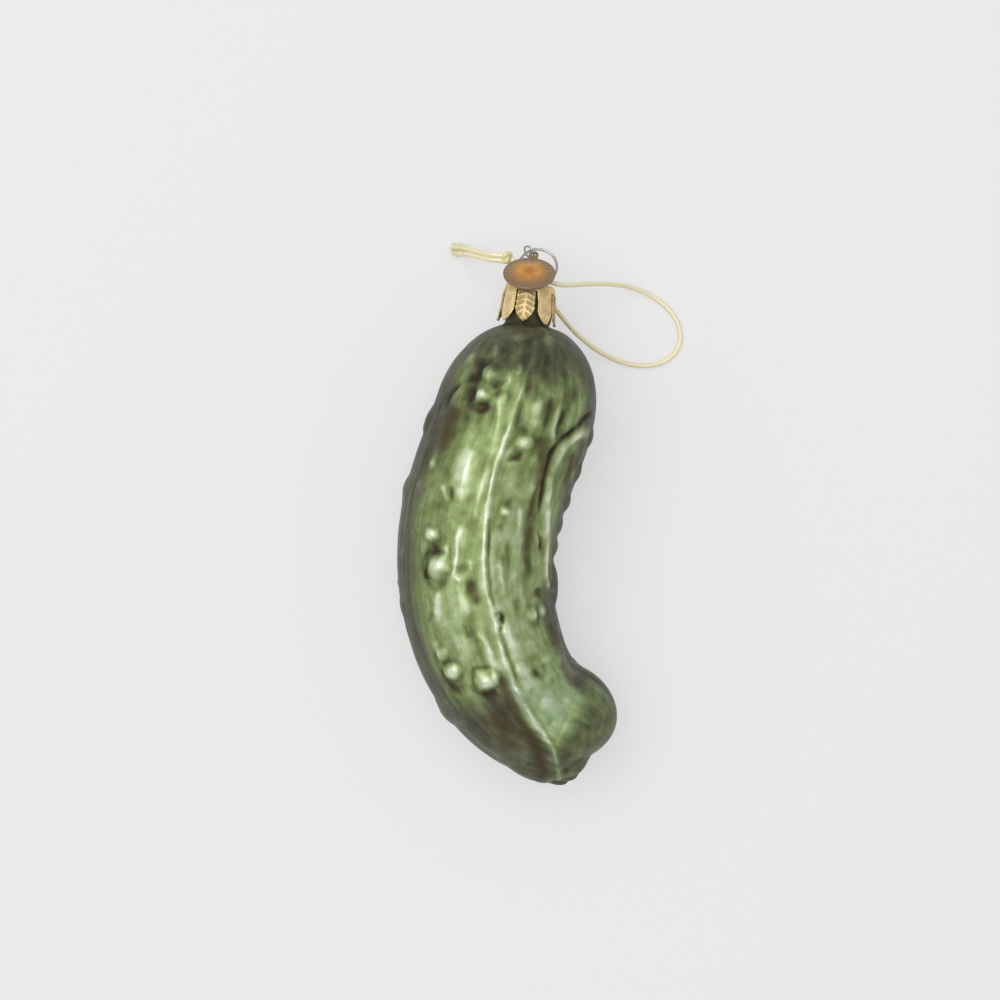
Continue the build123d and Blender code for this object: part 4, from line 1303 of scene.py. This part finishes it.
silver = dict(dull=paint(150, 152, 146), bright=paint(205, 207, 200), lipRows=2)  # rows that stay lacquered
silverMaterial, tree, surface = newMaterial("silveredInside", {"Metallic": 0.9, "Roughness": 0.22})
fine, broad = finishGrain(tree, 900.0, 220.0)
feed(tree, surface, {"Base Color": mixColour(tree, broad, silver["dull"], silver["bright"])})
pickleGlass.data.materials.append(silverMaterial)
silverFrom = (len(outside) + silver["lipRows"]) * columns
for polygon in pickleGlass.data.polygons:
    if min(polygon.vertices) >= silverFrom and max(polygon.vertices) != pointCount:
        polygon.material_index = 1

# Stamped gold sheet of the cap, with painted shade in the stamped hollows and a painted shadow towards the
# stamped petals' tops
gold = dict(
    bright=paint(240, 218, 168),
    deep=paint(212, 181, 120),
    # tarnish colour of the fine specks, also used for the painted shade in the hollows
    tarnish=paint(140, 110, 62),
    hollowTarnish=0.6,
    # painted shadow of the charm, at the stamped petals' tops
    root=paint(96, 74, 40),
)
goldMaterial, tree, surface = newMaterial("stampedGold", {"Metallic": 0.5, "Roughness": 0.45})
fine, broad = finishGrain(tree, 3200.0, 700.0)
leafShare = meshValue(tree, "stampedLeaf")
# painted shade: the stamped petals darken in their low hollows
hollow = product(tree, remap(tree, meshValue(tree, "petalLift"), 0.02, 0.14, 1.0, 0.0), leafShare)
# painted shadow: darker towards the tops of the stamped petals, where the charm's shadow falls
rootShade = product(tree, remap(tree, meshValue(tree, "petalPlace"), 0.1, 0.5, 0.4, 0.0), leafShare)
colour = mixColour(tree, remap(tree, broad, 0.35, 0.65, 0.0, 1.0), gold["bright"], gold["deep"])
# fine specks of tarnish
colour = mixColour(tree, remap(tree, fine, 0.5, 0.72, 0.0, 0.5), colour, gold["tarnish"])
colour = mixColour(tree, product(tree, hollow, gold["hollowTarnish"]), colour, gold["tarnish"])
colour = mixColour(tree, rootShade, colour, gold["root"])
feed(tree, surface, {"Base Color": colour, "Roughness": remap(tree, broad, 0.3, 0.7, 0.36, 0.54)})
addBump(tree, surface, fine, 0.35, 0.03)
crownCap.data.materials.append(goldMaterial)

# Copper-gold charm, painted browner towards its rim as shade on the dome's falling edge
copper = dict(
    middle=paint(184, 108, 36),
    gold=paint(212, 152, 72),
    # brown of the rim, a painted shade, also used for fine specks
    rim=paint(146, 121, 94),
    ray=paint(238, 192, 112),
)
charmMaterial, tree, surface = newMaterial("copperGold", {"Metallic": 0.6, "Roughness": 0.4})
fine, broad = finishGrain(tree, 2600.0, 500.0)
reach = total(tree, meshValue(tree, "reach"), remap(tree, broad, 0.3, 0.7, -0.08, 0.08))
rayShare = remap(tree, meshValue(tree, "ray"), 0.6, 0.05, 0.0, 0.4)
rayShare = product(tree, rayShare, remap(tree, reach, 0.2, 0.5, 1.0, 0.4))
colour = mixColour(tree, remap(tree, reach, 0.08, 0.3, 0.0, 1.0), copper["middle"], copper["gold"])
colour = mixColour(tree, rayShare, colour, copper["ray"])
# painted shade: browner out towards the rim
colour = mixColour(tree, remap(tree, reach, 0.4, 0.84, 0.0, 1.0), colour, copper["rim"])
colour = mixColour(tree, remap(tree, fine, 0.48, 0.7, 0.0, 0.35), colour, copper["rim"])
feed(tree, surface, {"Base Color": colour, "Roughness": remap(tree, broad, 0.3, 0.7, 0.3, 0.45)})
addBump(tree, surface, fine, 0.25, 0.03)
charmDisc.data.materials.append(charmMaterial)

# Drawn steel wire
steelMaterial, tree, surface = newMaterial("drawnSteel", {"Metallic": 0.95, "Roughness": 0.32})
fine, broad = finishGrain(tree, 4000.0, 600.0)
colour = mixColour(tree, remap(tree, broad, 0.3, 0.7, 0.0, 1.0), paint(206, 204, 200), paint(164, 160, 156))
colour = mixColour(tree, remap(tree, fine, 0.5, 0.75, 0.0, 0.5), colour, paint(96, 88, 78))
feed(tree, surface, {"Base Color": colour, "Roughness": remap(tree, fine, 0.3, 0.7, 0.24, 0.42)})
charmRing.data.materials.append(steelMaterial)
hangerWire = frame["nodes"]["hanger_wire"]
hangerWire.data.materials.clear()
hangerWire.data.materials.append(steelMaterial)

# Pale gold thread of the cord
threadMaterial, tree, surface = newMaterial(
    "goldThread", {"Metallic": 0.25, "Roughness": 0.5, "Sheen Weight": 0.2}
)
fine, broad = finishGrain(tree, 5200.0, 1200.0)
colour = mixColour(tree, remap(tree, fine, 0.35, 0.65, 0.0, 1.0), paint(246, 240, 210), paint(230, 219, 172))
colour = mixColour(tree, remap(tree, broad, 0.55, 0.75, 0.0, 0.4), colour, paint(212, 194, 126))
feed(tree, surface, {"Base Color": colour})
addBump(tree, surface, fine, 0.5, 0.05)
for piece in (cordLoop, upperTail, lowerTail):
    piece.data.materials.append(threadMaterial)
knotMaterial = threadMaterial.copy()  # rubbed yellower where it was handled
knotMaterial.name = "handledThread"
for node in knotMaterial.node_tree.nodes:
    if node.bl_idname == "ShaderNodeMix":
        node.inputs[7].default_value = paint(206, 184, 98)
for piece in (cordKnot, tailFray):
    piece.data.materials.append(knotMaterial)
print("finishes painted")

# Floor and light
floorForm = dict(size=14.0, level=-0.0002, colour=paint(233, 233, 233), plainShare=0.62)  # lengths in metres
reach, level = floorForm["size"] / 2, floorForm["level"]
floorMesh = bpy.data.meshes.new("floor")
floorPoints = [(-reach, -reach, level), (reach, -reach, level), (reach, reach, level), (-reach, reach, level)]
floorMesh.from_pydata(floorPoints, [], [(0, 1, 2, 3)])
floor = bpy.data.objects.new("floor", floorMesh)
scene.collection.objects.link(floor)
floorMaterial, tree, surface = newMaterial(
    "paleFloor", {"Roughness": 0.9, "Specular IOR Level": 0.1, "Base Color": floorForm["colour"]}
)
floorMesh.materials.append(floorMaterial)
# seen straight or in a gloss, the floor is mostly its own plain colour, so the shadow on it stays faint
lightPath = addNode(tree, "LightPath").outputs
seen = total(tree, lightPath["Is Camera Ray"], lightPath["Is Glossy Ray"])
seen = mathNode(tree, "ADD", seen, lightPath["Is Transmission Ray"], clamp=True)
plainFloor = addNode(tree, "Emission", None, dict(Color=floorForm["colour"], Strength=1.0))
floorMix = addNode(tree, "MixShader", None, {
    0: product(tree, seen, floorForm["plainShare"]),
    1: surface.outputs["BSDF"],
    2: plainFloor.outputs["Emission"],
})
feed(tree, tree.nodes["Material Output"], {"Surface": floorMix.outputs["Shader"]})

studio = dict(place=(-0.26, 0.12, 0.95), size=1.1, power=7.2, world=0.54)
lamp = bpy.data.objects.new("softLamp", bpy.data.lights.new("softLamp", "AREA"))
lamp.data.shape = "SQUARE"
lamp.data.size = studio["size"]
lamp.data.energy = studio["power"]
lamp.location = studio["place"]
lamp.rotation_euler = (-Vector(studio["place"])).to_track_quat("-Z", "Y").to_euler()
scene.collection.objects.link(lamp)
world = bpy.data.worlds.new("studio")
scene.world = world
world.use_nodes = True
world.node_tree.nodes["Background"].inputs["Color"].default_value = (1, 1, 1, 1)
world.node_tree.nodes["Background"].inputs["Strength"].default_value = studio["world"]
print("lit")
